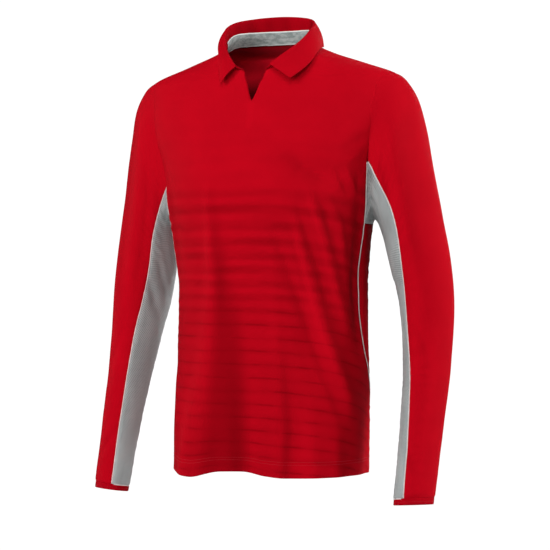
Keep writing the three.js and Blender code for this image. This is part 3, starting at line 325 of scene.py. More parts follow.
def fold_heights(folds, u, v, wrap=None, scale=(1.0, 1.0)):
    """Sum of the folds' heights at the points (u, v), each fold being a polyline."""
    out = np.zeros(np.broadcast(u, v).shape)
    for pts, widen in folds:
        p = np.array(pts, float)
        uu = u
        if wrap:
            mid = p[:, 0].mean()
            uu = u - wrap * np.round((u - mid) / wrap)
        best = np.full(out.shape, np.inf)
        h = np.zeros(out.shape)
        w = np.ones(out.shape)
        sgn = np.zeros(out.shape)
        for a, b in zip(p[:-1], p[1:]):
            ax, ay, bx, by = a[0] * scale[0], a[1] * scale[1], b[0] * scale[0], b[1] * scale[1]
            dx, dy = bx - ax, by - ay
            px, py = uu * scale[0] - ax, v * scale[1] - ay
            t = np.clip((px * dx + py * dy) / (dx * dx + dy * dy), 0, 1)
            ex, ey = px - t * dx, py - t * dy
            dist = np.hypot(ex, ey)
            take = dist < best
            best = np.where(take, dist, best)
            h = np.where(take, a[2] + (b[2] - a[2]) * t, h)
            w = np.where(take, a[3] + (b[3] - a[3]) * t, w)
            off = (dx * py - dy * px) / math.hypot(dx, dy)
            sgn = np.where(take, np.tanh(1.4 * off / np.maximum(w, 1.0)), sgn)
        ww = w * (1 + widen * sgn)
        out += h * np.exp(-((best / ww) ** 2))
    return out


_rng = np.random.default_rng(7)
_WAVES = []
for _ in range(34):
    _len = _rng.uniform(38, 150)
    _dir = _rng.uniform(0, math.pi)
    _WAVES.append((2 * math.pi / _len * math.cos(_dir), 2 * math.pi / _len * math.sin(_dir),
                   _rng.uniform(0, 2 * math.pi), 0.05 + 0.0013 * _len))


def undulation(u, v):
    """Slight unevenness of hanging cloth, in millimetres."""
    out = np.zeros(np.broadcast(u, v).shape)
    for ku, kv, ph, amp in _WAVES:
        out += amp * np.sin(ku * u + kv * v + ph)
    return out * 0.42


def round_undulation(a, z):
    """The same, meeting itself at the middle of the back."""
    back = smooth((np.abs(a) - 140) / 30.0)
    return (1 - back) * undulation(a * RAD * GIRTH_R, z) + back * undulation((a % 360) * RAD * GIRTH_R, z)


def body(a, z, n=None):
    p = plain_body(a, z)
    n = body_normal(a, z)
    a, z = np.broadcast_arrays(np.asarray(a, float), np.asarray(z, float))
    h = fold_heights(TORSO_FOLDS, a, z, wrap=360.0, scale=(RAD * GIRTH_R, 1.0))
    calm = np.clip((-30 - z) / 60, 0.15, 1)
    h = h + round_undulation(a, z) * calm
    return p + n * h[..., None]


# ------------------------------------------------------------------ grids
def arc(p):
    """Running length along each row of p (..., n, 3)."""
    d = np.linalg.norm(np.diff(p, axis=-2), axis=-1)
    return np.concatenate([np.zeros(d.shape[:-1] + (1,)), np.cumsum(d, -1)], -1)


NEAR = np.array([0.0, 0.9, 1.9, 3.2, 5.2])     # distances of the columns next to a seam


def resample(p, extra, count, near_a=True, near_b=True):
    """Rows of p at new columns: close together at a sewn edge, even between. extra is a list
    of arrays of the same rows and columns that are carried along. count is the number of
    columns between the close ones."""
    run = arc(p)
    rows = []
    for r in range(p.shape[0]):
        total = run[r, -1]
        fa = NEAR if near_a else np.array([0.0])
        fb = NEAR if near_b else np.array([0.0])
        k = min(1.0, total / (fa[-1] + fb[-1] + 6.0)) if total > 0 else 0
        s = np.concatenate([fa * k, np.linspace(fa[-1] * k, total - fb[-1] * k, count + 1)[1:-1], (total - fb * k)[::-1]])
        rows.append(s)
    s = np.array(rows)

    def take(q):
        if q.ndim == 3:
            return np.stack([take(q[..., i]) for i in range(q.shape[2])], -1)
        return np.array([np.interp(s[r], run[r], q[r]) for r in range(q.shape[0])])
    total = run[:, -1:]
    return take(p), [take(e) for e in extra], s, total


def grid_normals(p, closed=False):
    if closed:
        u = np.roll(p, -1, 1) - np.roll(p, 1, 1)
    else:
        u = np.gradient(p, axis=1)
    v = np.gradient(p, axis=0)
    return unit(np.cross(u, v))


def seam_dip(d, depth=1.1, width=2.6):
    return -depth * np.exp(-((d / width) ** 2))


def pucker(s, d, seed, amp=0.55, reach=11.0):
    """Small gathers along a seam: s runs along it, d away from it."""
    g = np.random.default_rng(seed)
    out = np.zeros(np.broadcast(s, d).shape)
    for _ in range(9):
        wl = g.uniform(9, 26)
        out += g.uniform(0.25, 1) * np.sin(2 * math.pi * s / wl + g.uniform(0, 6.28))
    env = (d / 3.0) * np.exp(-d / reach) * 0.9
    return amp * out / 3.0 * env


# ------------------------------------------------------------------ Blender helpers
def mesh_object(name, verts, faces, uv=None, smooth_shade=True, lie=None):
    """verts in millimetres; uv in millimetres too, one pair per vertex."""
    me = bpy.data.meshes.new(name)
    me.from_pydata((np.asarray(verts) * MM).tolist(), [], faces)
    me.update()
    if uv is not None:
        layer = me.uv_layers.new(name="cloth")
        idx = np.zeros(len(me.loops), dtype=np.int32)
        me.loops.foreach_get("vertex_index", idx)
        layer.data.foreach_set("uv", np.asarray(uv, np.float32)[idx].ravel())
        if lie is None:
            lie = np.zeros((len(verts), 2))
        layer = me.uv_layers.new(name="lie")
        layer.data.foreach_set("uv", np.asarray(lie, np.float32)[idx].ravel())
    if smooth_shade:
        me.polygons.foreach_set("use_smooth", [True] * len(me.polygons))
    ob = bpy.data.objects.new(name, me)
    bpy.context.scene.collection.objects.link(ob)
    return ob


class Builder:
    """Collects grids into one mesh."""
    def __init__(self):
        self.v, self.uv, self.lie, self.f, self.n = [], [], [], [], 0

    def grid(self, p, uv, flip=False, closed=False, lie=None):
        """lie: how the cloth leans across (its slope, with painted shade and light added), which the materials paint as
        shade and highlight, and how far it stands out.
        """
        r, c = p.shape[:2]
        base = self.n
        self.lie.append((np.zeros((r, c, 2)) if lie is None else lie).reshape(-1, 2))
        self.v.append(p.reshape(-1, 3))
        self.uv.append(uv.reshape(-1, 2))
        self.n += r * c
        i, j = np.meshgrid(np.arange(r - 1), np.arange(c if closed else c - 1), indexing="ij")
        j2 = (j + 1) % c
        q = np.stack([i * c + j, i * c + j2, (i + 1) * c + j2, (i + 1) * c + j], -1).reshape(-1, 4) + base
        if flip:
            q = q[:, ::-1]
        self.f.extend(q.tolist())
        return self

    def make(self, name, thickness=None, offset=-1.0, merge=0.05):
        lie = np.concatenate(self.lie) if self.lie else None
        ob = mesh_object(name, np.concatenate(self.v), self.f, np.concatenate(self.uv), lie=lie)
        me = ob.data
        if merge:
            import bmesh
            bm = bmesh.new()
            bm.from_mesh(me)
            bmesh.ops.remove_doubles(bm, verts=bm.verts, dist=merge * MM)
            bmesh.ops.dissolve_degenerate(bm, edges=bm.edges, dist=0.01 * MM)
            bm.to_mesh(me)
            bm.free()
        if thickness:
            m = ob.modifiers.new("cloth", "SOLIDIFY")
            m.thickness = thickness * MM
            m.offset = offset
            m.use_even_offset = False
        return ob


# ------------------------------------------------------------------ materials
class Nodes:
    """A short way to write a material's nodes."""
    def __init__(self, name):
        self.mat = bpy.data.materials.new(name)
        self.mat.use_nodes = True
        self.t = self.mat.node_tree
        self.t.nodes.clear()
        self.out = self.t.nodes.new("ShaderNodeOutputMaterial")
        self.bsdf = self.t.nodes.new("ShaderNodeBsdfPrincipled")
        self.t.links.new(self.bsdf.outputs[0], self.out.inputs[0])

    def node(self, kind, **props):
        n = self.t.nodes.new(kind)
        for k, v in props.items():
            setattr(n, k, v)
        return n

    def link(self, a, b):
        self.t.links.new(a, b)

    def math(self, op, a, b=None, c=None, clamp=False):
        n = self.node("ShaderNodeMath", operation=op, use_clamp=clamp)
        for i, v in enumerate((a, b, c)):
            if v is None:
                continue
            if isinstance(v, (int, float)):
                n.inputs[i].default_value = v
            else:
                self.link(v, n.inputs[i])
        return n.outputs[0]

    def uv(self):
        n = self.node("ShaderNodeUVMap", uv_map="cloth")
        s = self.node("ShaderNodeSeparateXYZ")
        self.link(n.outputs[0], s.inputs[0])
        return n.outputs[0], s.outputs[0], s.outputs[1]

    def lie(self):
        n = self.node("ShaderNodeUVMap", uv_map="lie")
        s = self.node("ShaderNodeSeparateXYZ")
        self.link(n.outputs[0], s.inputs[0])
        return s.outputs[0], s.outputs[1]

    def step(self, v, lo, hi):
        n = self.node("ShaderNodeMapRange", interpolation_type="SMOOTHSTEP")
        self.link(v, n.inputs[0])
        n.inputs[1].default_value, n.inputs[2].default_value = lo, hi
        n.inputs[3].default_value, n.inputs[4].default_value = 0.0, 1.0
        return n.outputs[0]

    def noise(self, vec, scale, detail=2.0, rough=0.5):
        n = self.node("ShaderNodeTexNoise")
        self.link(vec, n.inputs["Vector"])
        n.inputs["Scale"].default_value = scale
        n.inputs["Detail"].default_value = detail
        n.inputs["Roughness"].default_value = rough
        return n.outputs[0]

    def scaled(self, vec, s):
        n = self.node("ShaderNodeVectorMath", operation="MULTIPLY")
        self.link(vec, n.inputs[0])
        n.inputs[1].default_value = s
        return n.outputs[0]

    def mix(self, fac, a, b, blend="MIX"):
        n = self.node("ShaderNodeMix", data_type="RGBA", blend_type=blend)
        if isinstance(fac, (int, float)):
            n.inputs[0].default_value = fac
        else:
            self.link(fac, n.inputs[0])
        for i, v in ((6, a), (7, b)):
            if isinstance(v, tuple):
                n.inputs[i].default_value = (*v, 1.0) if len(v) == 3 else v
            else:
                self.link(v, n.inputs[i])
        return n.outputs[2]

    def bump(self, height, strength, distance, under=None):
        n = self.node("ShaderNodeBump")
        n.inputs["Strength"].default_value = strength
        n.inputs["Distance"].default_value = distance
        self.link(height, n.inputs["Height"])
        if under is not None:
            self.link(under, n.inputs["Normal"])
        return n.outputs[0]


def knit_height(n, u, v, wale, course):
    """Rows of small loops: u across, v along, in millimetres."""
    fu = n.math("FRACT", n.math("DIVIDE", u, wale))
    a = n.math("ABSOLUTE", n.math("SUBTRACT", fu, 0.5))          # 0 in the middle of a wale
    lean = n.math("MULTIPLY", a, course * 1.3)
    fv = n.math("FRACT", n.math("DIVIDE", n.math("ADD", v, lean), course))
    b = n.math("ABSOLUTE", n.math("SUBTRACT", fv, 0.5))
    ridge = n.math("COSINE", n.math("MULTIPLY", a, 2 * math.pi))
    loop = n.math("COSINE", n.math("MULTIPLY", b, 2 * math.pi))
    return n.math("ADD", n.math("MULTIPLY", ridge, 0.6), n.math("MULTIPLY", loop, 0.4))


# how strongly a fold's slope is painted: as shade on one side, as highlight on the other
FOLD_SHADE, FOLD_PAINTED_HIGHLIGHT = 1.35, 0.8
RED = (0.440, 0.0016, 0.0085)
RED_DARK = (0.190, 0.0007, 0.0034)
RED_LIGHT = (0.560, 0.0022, 0.0115)


def red_material(name, stripes=0.0, wale=1.15, course=0.95, tone=1.0):
    n = Nodes(name)
    vec, u, v = n.uv()
    patch = n.noise(n.scaled(vec, (0.018, 0.018, 1)), 1.0, 2.0)
    fine = n.noise(n.scaled(vec, (0.9, 0.9, 1)), 1.0, 2.0)
    col = n.mix(n.step(patch, 0.3, 0.75), tuple(c * 0.96 * tone for c in RED), tuple(c * 1.04 * tone for c in RED))
    col = n.mix(n.math("MULTIPLY", n.step(fine, 0.35, 0.7), 0.07), col, RED_DARK)
    height = knit_height(n, u, v, wale, course)
    normal = n.bump(height, 0.22, 0.0005)
    if stripes:
        wob = n.noise(n.scaled(vec, (0.012, 0.03, 1)), 1.0, 1.0)
        vv = n.math("ADD", v, n.math("MULTIPLY", n.math("SUBTRACT", wob, 0.5), 3.5))
        # the rows hang lower towards one side, and a little lower below the chest
        low_side = n.math("MAXIMUM", u, 0.0)
        vv = n.math("ADD", vv, n.math("MULTIPLY", n.math("MULTIPLY", low_side, low_side), 0.00078))
        vv = n.math("ADD", vv, n.math("MULTIPLY", n.step(v, -300.0, -430.0), 3.6))
        # the repeat is a little longer over the chest
        over = n.math("MAXIMUM", n.math("ADD", vv, 309.0), 0.0)
        vv = n.math("ADD", n.math("MINIMUM", vv, -309.0), n.math("MULTIPLY", over, 0.8))
        ph = n.math("FRACT", n.math("ADD", n.math("DIVIDE", n.math("SUBTRACT", vv, STRIPE_ZERO), STRIPE_PITCH), 0.5 + 40))
        ad = n.math("ABSOLUTE", n.math("SUBTRACT", ph, 0.5))          # 0 on a dark line
        line = n.math("SUBTRACT", 1.0, n.step(ad, 0.015, 0.12))
        wave = n.math("SUBTRACT", 1.0, n.step(ad, 0.06, 0.44))
        mid = n.step(v, -205.0, -262.0)
        low = n.step(v, -380.0, -450.0)
        top = n.step(v, -70.0, -190.0)
        upper = n.math("MULTIPLY", mid, n.math("SUBTRACT", 1.0, low))
        # unevenly worn: stronger in some places
        spots = n.noise(n.scaled(vec, (0.014, 0.045, 1)), 1.0, 2.0)
        spot = n.math("ADD", 0.30, n.math("MULTIPLY", n.step(spots, 0.32, 0.64), 0.95))
        thin = n.noise(n.scaled(n.scaled(vec, (1, 1, 1)), (0.022, 0.075, 1)), 1.0, 2.0)
        thin = n.math("ADD", 0.10, n.math("MULTIPLY", n.step(thin, 0.40, 0.62), 1.45))
        f = n.math("MULTIPLY", mid, 0.14 * stripes)
        f = n.math("ADD", f, n.math("MULTIPLY", n.math("MULTIPLY", upper, wave), n.math("MULTIPLY", spot, 0.25 * stripes)))
        f = n.math("ADD", f, n.math("MULTIPLY", n.math("MULTIPLY", low, wave), n.math("MULTIPLY", spot, 0.10 * stripes)))
        f = n.math("ADD", f, n.math("MULTIPLY", n.math("MULTIPLY", low, line), n.math("MULTIPLY", thin, 0.27 * stripes)))
        f = n.math("ADD", f, n.math("MULTIPLY", n.math("MULTIPLY", top, wave), n.math("MULTIPLY", spot, 0.05 * stripes)), clamp=True)
        light = n.math("MULTIPLY", n.math("MULTIPLY", upper, n.math("SUBTRACT", 1.0, wave)), n.math("MULTIPLY", spot, 0.26 * stripes), clamp=True)
        # a faint painted highlight in a strip below the slit
        strip = n.math("SUBTRACT", 1.0, n.step(n.math("ABSOLUTE", n.math("SUBTRACT", u, 2.4)), 2.0, 5.2))
        strip = n.math("MULTIPLY", strip, n.math("MULTIPLY", n.step(v, -134.0, -128.0), n.step(v, -84.0, -90.0)))
        col = n.mix(light, col, RED_LIGHT)
        col = n.mix(n.math("MULTIPLY", strip, 0.17), col, RED_LIGHT)
        col = n.mix(f, col, RED_DARK)
        relief = n.math("MULTIPLY", n.math("SUBTRACT", 1.0, wave), mid)
        normal = n.bump(relief, 0.25, 0.0010, normal)
    lean, stand = n.lie()
    # painted shade on one side of each fold and painted highlight on the other, from its slope
    away = n.math("MULTIPLY", n.math("MULTIPLY", lean, -FOLD_SHADE), 1.0, clamp=True)
    into = n.math("MULTIPLY", n.math("MULTIPLY", lean, FOLD_PAINTED_HIGHLIGHT), 1.0, clamp=True)
    col = n.mix(into, col, RED_LIGHT)
    col = n.mix(away, col, RED_DARK)
    n.link(col, n.bsdf.inputs["Base Color"])
    n.link(normal, n.bsdf.inputs["Normal"])
    n.bsdf.inputs["Roughness"].default_value = 0.80
    n.bsdf.inputs["Specular IOR Level"].default_value = 0.03
    n.bsdf.inputs["Specular Tint"].default_value = (1.0, 0.03, 0.06, 1.0)
    n.bsdf.inputs["Sheen Weight"].default_value = 0.01
    n.bsdf.inputs["Sheen Roughness"].default_value = 0.5
    n.bsdf.inputs["Sheen Tint"].default_value = (1.0, 0.04, 0.07, 1.0)
    return n.mat


def inside_material(name, colour, high=None, low=None):
    """The plain, duller side of a cloth that lies inside the garment."""
    n = Nodes(name)
    vec, u, v = n.uv()
    patch = n.noise(n.scaled(vec, (0.02, 0.02, 1)), 1.0, 2.0)
    col = n.mix(n.step(patch, 0.3, 0.7), tuple(c * 0.9 for c in colour), tuple(c * 1.1 for c in colour))
    if high:                            # painted shade just below the neck seam, and further down
        col = n.mix(n.step(v, 26.0, 40.0), col, high)
        col = n.mix(n.step(v, -4.0, -45.0), col, low)
    n.link(col, n.bsdf.inputs["Base Color"])
    n.link(n.bump(knit_height(n, u, v, 1.15, 0.95), 0.2, 0.0004), n.bsdf.inputs["Normal"])
    n.bsdf.inputs["Roughness"].default_value = 0.9
    n.bsdf.inputs["Specular IOR Level"].default_value = 0.05
    return n.mat


def grey_material(name, point=0.0):
    n = Nodes(name)
    vec, u, v = n.uv()
    p = 4.2
    s1 = n.math("SINE", n.math("MULTIPLY", n.math("ADD", u, v), math.pi / p))
    s2 = n.math("SINE", n.math("MULTIPLY", n.math("SUBTRACT", u, v), math.pi / p))
    prod = n.math("ABSOLUTE", n.math("MULTIPLY", s1, s2))
    hole = n.step(prod, 0.45, 0.85)
    patch = n.noise(n.scaled(vec, (0.03, 0.012, 1)), 1.0, 3.0)
    grain = n.noise(n.scaled(vec, (0.5, 0.5, 1)), 1.0, 3.0)
    col = n.mix(n.step(patch, 0.3, 0.7), (0.275, 0.300, 0.298), (0.370, 0.402, 0.399))
    col = n.mix(n.math("MULTIPLY", n.step(grain, 0.3, 0.7), 0.22), col, (0.42, 0.445, 0.442))
    streak = n.noise(n.scaled(vec, (0.16, 0.022, 1)), 1.0, 3.0, 0.55)
    # darker streaks along the mesh
    streaks_and_armpit_shade = n.math("MULTIPLY", n.step(streak, 0.50, 0.68), 0.13)
    # painted shade near the armhole, under the arm, as strong as point, with streaks
    if point:
        streaks_and_armpit_shade = n.math("ADD", streaks_and_armpit_shade, n.math("MULTIPLY", n.step(v, -75.0, -5.0), n.math("ADD", point, n.math("MULTIPLY", n.step(streak, 0.42, 0.62), 0.30))))
    col = n.mix(streaks_and_armpit_shade, col, (0.085, 0.090, 0.090))
    lean, stand = n.lie()
    # painted shade and painted highlight on the two sides of each fold, from its slope
    col = n.mix(n.math("MULTIPLY", lean, -1.1, clamp=True), col, (0.05, 0.053, 0.053))
    col = n.mix(n.math("MULTIPLY", lean, 0.9, clamp=True), col, (0.485, 0.565, 0.565))
    col = n.mix(n.math("MULTIPLY", hole, 0.62), col, (0.05, 0.054, 0.055))
    n.link(col, n.bsdf.inputs["Base Color"])
    normal = n.bump(n.math("SUBTRACT", 1.0, hole), 0.35, 0.0006)
    n.link(normal, n.bsdf.inputs["Normal"])
    n.bsdf.inputs["Roughness"].default_value = 0.6
    n.bsdf.inputs["Specular IOR Level"].default_value = 0.3
    n.bsdf.inputs["Sheen Weight"].default_value = 0.15
    return n.mat


def piping_material(name):
    n = Nodes(name)
    vec, u, v = n.uv()
    twist = n.math("SINE", n.math("MULTIPLY", n.math("ADD", v, n.math("MULTIPLY", u, 0.7)), 2 * math.pi / 1.3))
    grain = n.noise(n.scaled(vec, (0.4, 0.15, 1)), 1.0, 2.0)
    col = n.mix(n.step(grain, 0.3, 0.7), (0.52, 0.46, 0.45), (0.66, 0.60, 0.59))
    n.link(col, n.bsdf.inputs["Base Color"])
    n.link(n.bump(twist, 0.25, 0.0003), n.bsdf.inputs["Normal"])
    n.bsdf.inputs["Roughness"].default_value = 0.5
    n.bsdf.inputs["Specular IOR Level"].default_value = 0.4
    return n.mat


def tape_material(name):
    n = Nodes(name)
    vec, u, v = n.uv()
    # v runs across the tape from -1 to 1
    edge = n.step(n.math("ABSOLUTE", v), 0.80, 0.90)
    blot = n.noise(n.scaled(vec, (0.09, 2.4, 1)), 1.0, 3.0, 0.6)
    fine = n.noise(n.scaled(vec, (0.8, 9.0, 1)), 1.0, 2.0)
    col = n.mix(n.step(blot, 0.35, 0.66), (0.165, 0.200, 0.190), (0.36, 0.385, 0.375))
    col = n.mix(n.math("MULTIPLY", n.step(fine, 0.4, 0.6), 0.22), col, (0.48, 0.50, 0.49))
    col = n.mix(n.math("MULTIPLY", edge, 0.95), col, (0.80, 0.83, 0.81))
    rib = n.math("SINE", n.math("MULTIPLY", u, 2 * math.pi / 1.4))
    n.link(col, n.bsdf.inputs["Base Color"])
    n.link(n.bump(rib, 0.3, 0.0004), n.bsdf.inputs["Normal"])
    n.bsdf.inputs["Roughness"].default_value = 0.65
    n.bsdf.inputs["Specular IOR Level"].default_value = 0.3
    return n.mat


def thread_material(name, colour):
    n = Nodes(name)
    vec, u, v = n.uv()
    tw = n.noise(n.scaled(vec, (2.0, 2.0, 1)), 1.0, 1.0)
    col = n.mix(tw, tuple(c * 0.8 for c in colour), tuple(min(1, c * 1.25) for c in colour))
    n.link(col, n.bsdf.inputs["Base Color"])
    n.bsdf.inputs["Roughness"].default_value = 0.5
    return n.mat


MAT = {
    "plain": red_material("red knit"),
    "front": red_material("red knit with tonal stripes", stripes=1.0),
    "collar": red_material("red collar knit", wale=1.0, course=0.85),
    "inside": inside_material("red knit reverse", (0.350, 0.0016, 0.0080)),
    # the reverse at the back neck: base colour painted lighter, with painted shade below the neck seam and further down
    "inside_back": inside_material("red knit reverse at the neck in painted light and shade", (0.74, 0.0036, 0.0180), (0.17, 0.0008, 0.0042), (0.105, 0.0006, 0.0030)),
    "cuff": red_material("red cuff knit", tone=0.84),
    "inside_grey": inside_material("grey mesh reverse", (0.20, 0.21, 0.21)),
    "grey": grey_material("grey mesh"),
    # the wearer's left under-sleeve, with painted shade by the armpit
    "grey_l": grey_material("grey mesh with painted shade at the armpit", point=0.22),
    "piping": piping_material("light piping"),
    "tape": tape_material("grey neck tape"),
    "thread": thread_material("red thread", (0.36, 0.003, 0.010)),
    "thread_light": thread_material("grey thread", (0.42, 0.42, 0.42)),
}


def dress(ob, mat, node):
    ob.data.materials.append(MAT[mat])
    for m in ob.modifiers:
        if mat in ("front", "plain", "grey", "grey_l", "cuff"):
            ob.data.materials.append(MAT["inside_grey" if mat.startswith("grey") else "inside_back" if ob.name == "jersey_back" else "inside"])
            m.material_offset = 1
    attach(ob, "root")
    for one in (node,) if isinstance(node, str) else node:
        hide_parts(one)
    return ob


# ------------------------------------------------------------------ torso panels
def levels(lo, hi, step, close_lo=False):
    n = max(2, int(round((hi - lo) / step)))
    return np.linspace(lo, hi, n + 1)


def hem_rows(p, n, uv, lie, inside=HEM_DEPTH):
    """Adds the turned-up hem below the first row: round the fold and up behind the cloth."""
    down = unit(p[0] - p[1])
    rows, uvs = [], []
    r = 1.0
    for k, th in enumerate((0, 45, 90, 135, 180)):
        if k == 0:
            continue
        t = th * RAD
        rows.append(p[0] + down * (r * math.sin(t)) - n[0] * (r * (1 - math.cos(t))))
        uvs.append(uv[0] + np.array([0, -r * t]))
    run = arc(p.transpose(1, 0, 2))
    at = lambda q, rise: np.array([[np.interp(rise, run[c], q[:, c, i]) for i in range(3)] for c in range(p.shape[1])])
    for k in range(1, 8):
        rise = inside * k / 7
        rows.append(at(p, rise) - unit(at(n, rise)) * 2 * r)
        uvs.append(uv[0] + np.array([0, -r * math.pi - rise]))
    return (np.concatenate([np.array(rows[::-1]), p]), np.concatenate([np.array(uvs[::-1]), uv]),
            np.concatenate([np.repeat(lie[:1], len(rows), 0), lie]))


def cloth_v(z):
    """Length along the cloth for the stripes: the level itself, stretched over the shoulders."""
    return np.where(z > -100, -100 + (z + 100) * 1.25, z)


def furrow(z):
    """How deep the armhole seam lies: hardly at the shoulder, more towards the underarm."""
    return 0.04 + 0.86 * smooth((-120.0 - z) / 150.0)


def torso_grid(zs, a0, a1, cols, base_cols=240, near0=True, near1=True, seed=1, z_of=None):
    """A panel between two angles at each level."""
    t = np.linspace(0, 1, base_cols)
    A = a0[:, None] + (a1 - a0)[:, None] * t
    Z = np.repeat(zs[:, None], base_cols, 1)
    if z_of is not None:
        Z = z_of(A, Z)
    plain = plain_body(A, Z)
    P, (A2, Z2), s, total = resample(plain, [A, Z], cols, near0, near1)
    P = body(A2, Z2)
    N = body_normal(A2, Z2)
    d0, d1 = s, total - s
    h = np.zeros(s.shape)
    run = arc(P.transpose(1, 0, 2)).T
    if near0:
        h += (seam_dip(d0) + pucker(run, d0, seed)) * furrow(Z2)
    if near1:
        h += (seam_dip(d1) + pucker(run, d1, seed + 1)) * furrow(Z2)
    P = P + N * h[..., None]
    U = A2 * RAD * GIRTH_R
    V = cloth_v(Z2)
    stand = fold_heights(TORSO_FOLDS, A2, Z2, wrap=360.0, scale=(RAD * GIRTH_R, 1.0))
    # the folds' slope across the panel, which the materials paint as shade on one side of each fold and highlight on
    # the other
    way = np.sign((a1 - a0).sum())
    lean = way * np.gradient(stand, axis=1) / np.maximum(np.gradient(s, axis=1), 0.2)
    # painted shade and painted highlight added to the slope: the long fold's shaded side painted darker; left of the
    # middle low down less highlight and a little painted shade; the wearer's right front low down painted lighter; the
    # wearer's left side under the arm in painted shade
    fold = smooth((A2 + 46) / 12) * smooth((5 - A2) / 5) * smooth((-270 - Z2) / 60)
    past = smooth((A2 - 2) / 6) * smooth((34 - A2) / 10) * smooth((-440 - Z2) / 90)
    edge = smooth((-36 - A2) / 8) * smooth((-500 - Z2) / 80) * (A2 > -75)
    under = smooth((A2 - 64) / 12) * smooth((120 - A2) / 15) * smooth((-195 - Z2) / 45) * smooth((Z2 + 480) / 110)
    lean = np.where(lean < 0, lean * (1 + 0.85 * fold), lean * (1 - 0.8 * past)) - 0.05 * past + 0.26 * edge - 0.20 * under
    lie = np.stack([lean, stand], -1)
    return P, N, np.stack([U, V], -1), A2, Z2, lie


def stack_levels():
    low = np.linspace(HEM_Z, GUSSET_Z, 110)
    hole = np.concatenate([np.linspace(GUSSET_Z, -64, 60)[1:], np.array([-60, -56, -52.5, -49.5, -47, -45, -43.2, -42, -41.2, -40.5, -40])])
    sh = np.concatenate([[-38.6, -37, -35, -32.6, -30], np.arange(-27.4, 19, 2.6), [19.4, 21.0, 22.4, 23.4, 24.0]])
    return low, hole, sh


LOW, HOLE, SH = stack_levels()
FRONT_Z = np.concatenate([LOW, HOLE, SH])
# rows fall exactly on the slit's foot
FRONT_Z[np.argmin(np.abs(FRONT_Z - SLIT_FOOT_Z))] = SLIT_FOOT_Z


def build_front():
    b = Builder()
    edge = neck_front(FRONT_Z)
    shift = slit_shift(FRONT_Z)
    for sign, seed in ((1, 11), (-1, 21)):
        a0, a1 = sign * edge + shift, sign * (front_seam(FRONT_Z) - forward(FRONT_Z, sign))
        P, N, uv, A, Z, lie = torso_grid(FRONT_Z, a0, a1, 62, near0=False, seed=seed)
        # the slit's edges turn in, and its foot is drawn together
        d = arc(plain_body(A, Z))
        inslit = smooth((Z - SLIT_FOOT_Z) / 6.0) * (Z < 30)
        P = P + N * (seam_dip(d, 1.0, 2.2) * inslit)[..., None]
        P, uv, lie = hem_rows(P, N, uv, lie)
        b.grid(P, uv, flip=sign < 0, lie=lie)
    return b.make("jersey_front", CLOTH)


def build_back():
    b = Builder()
    rise = NECK_BACK_Z - NECK_SIDE_Z
    zs = np.concatenate([LOW, HOLE, SH, NECK_SIDE_Z + np.linspace(0, 1, 8)[1:] * rise])

    def z_of(A, Z):
        f = np.clip((Z - NECK_SIDE_Z) / rise, 0, 1)
        return np.where(Z > NECK_SIDE_Z, NECK_SIDE_Z + f * (neck_back_z(np.abs(A)) - NECK_SIDE_Z), Z)
    for sign, seed in ((1, 31), (-1, 41)):
        a0 = sign * np.where(zs > NECK_SIDE_Z, 90.0, rear_seam(zs))
        a1 = np.full(zs.shape, sign * 180.0)
        P, N, uv, A, Z, lie = torso_grid(zs, a0, a1, 58, near1=False, seed=seed, z_of=z_of)
        uv[..., 0] += (sign < 0) * 360 * RAD * GIRTH_R
        P, uv, lie = hem_rows(P, N, uv, lie)
        b.grid(P, uv, flip=sign < 0, lie=lie)
    return b.make("jersey_back", CLOTH)


def build_side(sign, name):
    b = Builder()
    zs = LOW
    P, N, uv, A, Z, lie = torso_grid(zs, sign * (side_front(zs) - forward(zs, sign)), sign * side_rear(zs), 22, seed=51 + sign)
    run = arc(P.transpose(1, 0, 2)).T
    d = run[-1:] - run
    P = P + N * (seam_dip(d))[..., None]
    if sign > 0:                       # in the arm's shade
        lie[..., 0] -= 0.66 * smooth((Z + 470) / 165)
    P, uv, lie = hem_rows(P, N, uv, lie)
    b.grid(P, uv, flip=sign < 0, lie=lie)
    return b.make("side_of_jersey_" + name, CLOTH)


# ------------------------------------------------------------------ sleeves
def dense_curve(angle_of, z0, z1, sign, n=400):
    # close together near the shoulder point, where the seam turns
    t = np.linspace(0, 1, n) ** 2
    z = z0 + (z1 - z0) * t
    a = sign * angle_of(z)
    return a, z


def even(a, z, count):
    p = plain_body(a, z)
    run = arc(p)
    s = np.linspace(0, run[-1], count + 1)
    return np.interp(s, run, a), np.interp(s, run, z)


